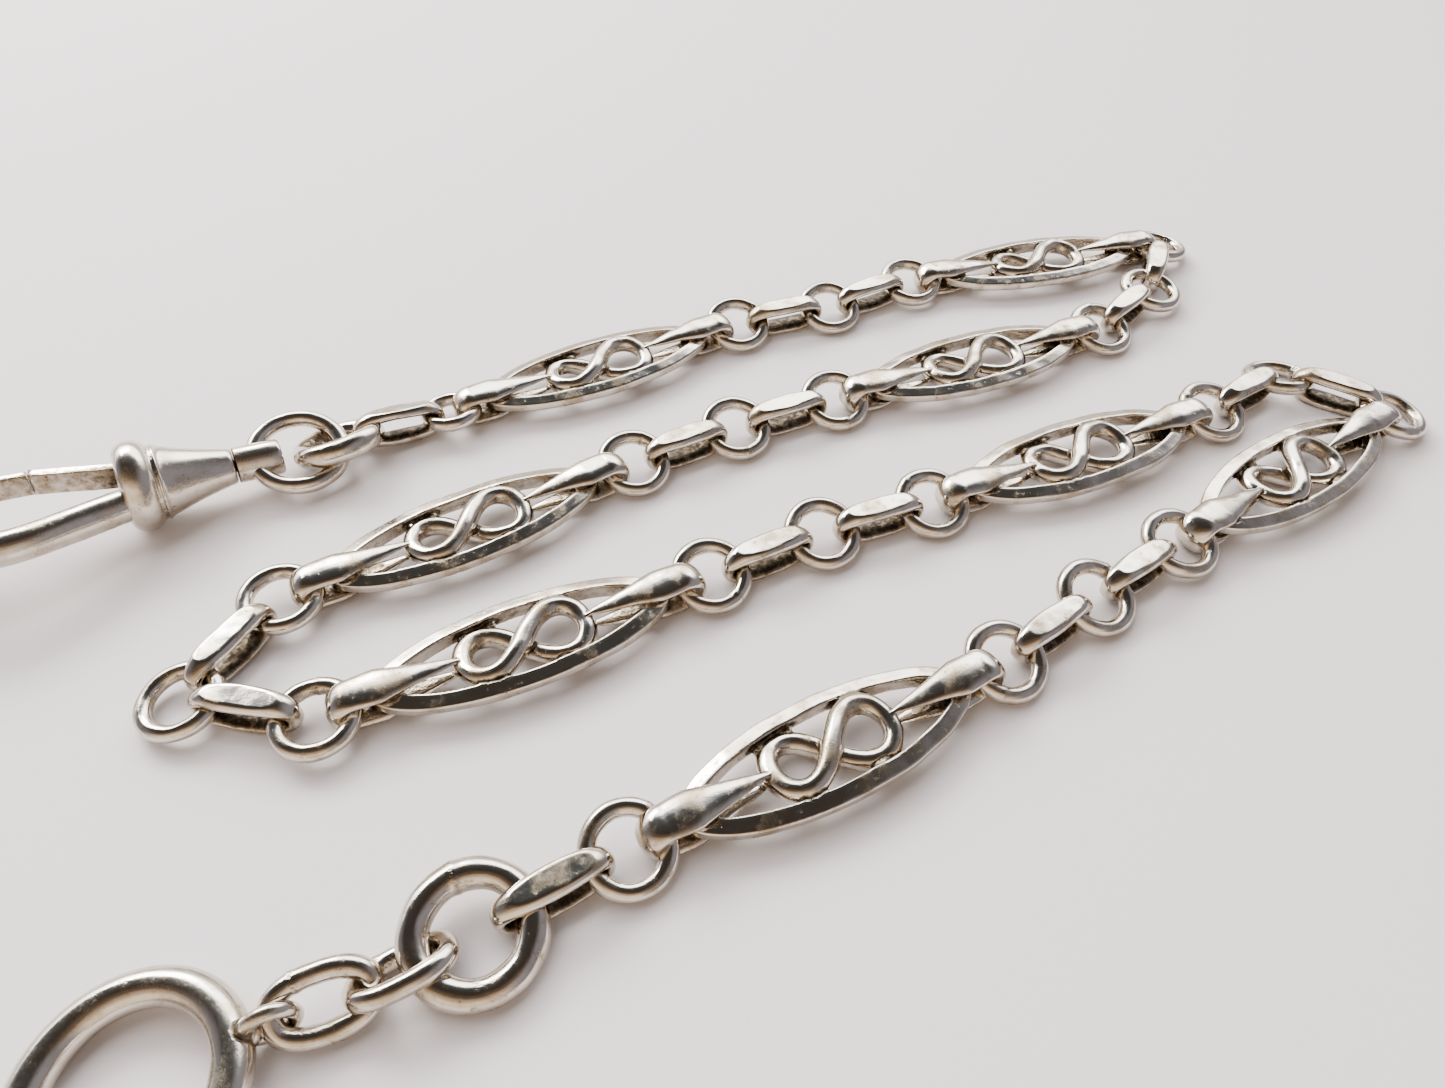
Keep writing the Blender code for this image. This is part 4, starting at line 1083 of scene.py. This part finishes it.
class WATCHCHAIN_OT_bolt_ring(bpy.types.Operator):
    """The bolt ring: tube with eyelet, tongue with knob, and spring"""

    bl_idname = "watch_chain.bolt_ring"
    bl_label = "Bolt ring"

    def execute(self, context):
        size = context.scene.watch_chain_sizes
        pose = bolt_pose()
        silver_piece("bolt_ring_tube", [bolt_tube(size)], pose, turned_silver(), "bolt_ring")
        silver_piece("bolt_ring_tongue", [bolt_tongue(size)], pose, drawn_wire(), "bolt_ring_tongue")
        made = build("bolt_ring_coil", [coil_shell(size)], pose, spring_steel(), "bolt_ring")
        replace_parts(made, "bolt_ring_spring")
        return {"FINISHED"}


def area_light(name, place, aim, size, power, colour):
    """A rectangular soft light at a place, facing a point."""
    data = bpy.data.lights.new(name, "AREA")
    data.shape = "RECTANGLE"
    data.size, data.size_y = size
    data.energy = power
    data.color = linear(colour)[:3]
    lamp = bpy.data.objects.new(name, data)
    lamp.location = place
    lamp.rotation_euler = (Vector(aim) - Vector(place)).to_track_quat("-Z", "Y").to_euler()
    lamp.visible_camera = False
    bpy.context.scene.collection.objects.link(lamp)
    return lamp


SKY = (  # angle over the table from the far side in degrees, and the colour seen there
    (0, "#6F6C6A"), (15, "#6E6B69"), (28, "#F4F2EF"), (48, "#FFFFFF"), (55, "#5C6067"), (61, "#202225"),
    (74, "#161616"), (98, "#14110F"), (120, "#2A221B"), (138, "#594D41"), (158, "#7D7366"),
)


def studio_world(scene, strength):
    """A pale room with a broad window on the far side, and a dark ceiling and camera side.

    The colour depends on the angle atan2(z, y) over the table, from the far side to the near side.
    Far to the left and right it fades to a plain mid grey. Looked at straight, it is a plain pale wall.
    """
    world = bpy.data.worlds.new("pale_room")
    scene.world = world
    world.use_nodes = True
    tree = world.node_tree
    tree.nodes.clear()
    way = add_node(tree, "ShaderNodeTexCoord", output="Generated")
    x, y, z = add_node(tree, "ShaderNodeSeparateXYZ", (way,)).node.outputs
    angle = add_node(tree, "ShaderNodeMath", (z, y), operation="ARCTAN2")
    share = add_node(tree, "ShaderNodeMath", (angle, math.pi), operation="DIVIDE")
    sky = add_node(tree, "ShaderNodeValToRGB", (share,))
    ramp = sky.node.color_ramp
    ramp.interpolation = "EASE"
    for _ in range(len(SKY) - 2):
        ramp.elements.new(0.5)
    for element, (degrees, colour) in zip(ramp.elements, SKY):
        element.position, element.color = degrees / 180, linear(colour)
    side = add_node(tree, "ShaderNodeMath", (x, 0.15), operation="ADD")
    side = add_node(tree, "ShaderNodeMath", (side,), operation="ABSOLUTE")
    fade = add_node(tree, "ShaderNodeMapRange", (side, 0.45, 0.95, 0.0, 1.0), **SMOOTH)
    room = add_node(tree, "ShaderNodeMix", {0: fade, 6: sky, 7: linear("#3A393D")}, 2, data_type="RGBA")
    seen = add_node(tree, "ShaderNodeLightPath", output="Is Camera Ray")
    lighting = add_node(tree, "ShaderNodeBackground", (room, strength))
    wall = add_node(tree, "ShaderNodeBackground", (linear("#F4F2F1"), 1.9))
    shader = add_node(tree, "ShaderNodeMixShader", (seen, lighting, wall))
    add_node(tree, "ShaderNodeOutputWorld", (shader,))


class WATCHCHAIN_OT_stage(bpy.types.Operator):
    """Camera, table and soft studio light"""

    bl_idname = "watch_chain.stage"
    bl_label = "Stage"

    def execute(self, context):
        scene = context.scene
        stage = scene.watch_chain_stage
        data = bpy.data.cameras.new("camera")
        data.lens, data.sensor_width = stage.lens, 36.0
        data.clip_start, data.clip_end = 0.001, 10.0
        camera = bpy.data.objects.new("camera", data)
        camera.location = (stage.camera_x, stage.camera_y, stage.camera_z)
        camera.rotation_euler = (math.radians(90) - stage.pitch, stage.roll, 0.0)
        scene.collection.objects.link(camera)
        scene.camera = camera
        far, low = 1.5, -0.02 * MM
        mesh = bpy.data.meshes.new("table")
        corners = [(-far, -far, low), (far, -far, low), (far, far, low), (-far, far, low)]
        mesh.from_pydata(corners, [], [(0, 1, 2, 3)])
        table = bpy.data.objects.new("table", mesh)
        paint = bpy.data.materials.new("pale_card")
        paint.use_nodes = True
        shader = paint.node_tree.nodes["Principled BSDF"]
        shader.inputs["Base Color"].default_value = linear(stage.floor)
        shader.inputs["Roughness"].default_value = 0.75
        shader.inputs["Specular IOR Level"].default_value = 0.2
        mesh.materials.append(paint)
        scene.collection.objects.link(table)
        studio_world(scene, stage.room)
        window, overhead = (-0.24, 0.34, 0.30), (-0.16, 0.17, 0.38)
        area_light("window", window, (0.02, 0.02, 0.0), (0.30, 0.16), stage.key, "#FFFDF8")
        ceiling = area_light("ceiling", overhead, (0.0, 0.03, 0.0), (0.5, 0.5), stage.ceiling, "#FFF9FA")
        ceiling.visible_glossy = False  # it fills the shadows, and the metal reflects the room alone
        return {"FINISHED"}


class WATCHCHAIN_PT_panel(bpy.types.Panel):
    """Buttons for every piece"""

    bl_idname = "WATCHCHAIN_PT_panel"
    bl_label = "Watch chain"
    bl_space_type = "VIEW_3D"
    bl_region_type = "UI"
    bl_category = "Watch chain"

    def draw(self, context):
        for operator in OPERATORS:
            self.layout.operator(operator.bl_idname)


OPERATORS = (
    WATCHCHAIN_OT_rings,
    WATCHCHAIN_OT_connectors,
    WATCHCHAIN_OT_boat_links,
    WATCHCHAIN_OT_trace_links,
    WATCHCHAIN_OT_dog_clip,
    WATCHCHAIN_OT_bolt_ring,
    WATCHCHAIN_OT_stage,
)
GROUPS = {
    "watch_chain_sizes": WATCHCHAIN_PG_sizes,
    "watch_chain_finish": WATCHCHAIN_PG_finish,
    "watch_chain_stage": WATCHCHAIN_PG_stage,
}
CLASSES = (*GROUPS.values(), *OPERATORS, WATCHCHAIN_PT_panel)


def register():
    for cls in CLASSES:
        bpy.utils.register_class(cls)
    for name, group in GROUPS.items():
        setattr(bpy.types.Scene, name, PointerProperty(type=group))


def unregister():
    for name in GROUPS:
        delattr(bpy.types.Scene, name)
    for cls in reversed(CLASSES):
        bpy.utils.unregister_class(cls)


def main():
    register()
    for operator in OPERATORS:
        group, name = operator.bl_idname.split(".")
        getattr(getattr(bpy.ops, group), name)()


if __name__ == "__main__":
    main()
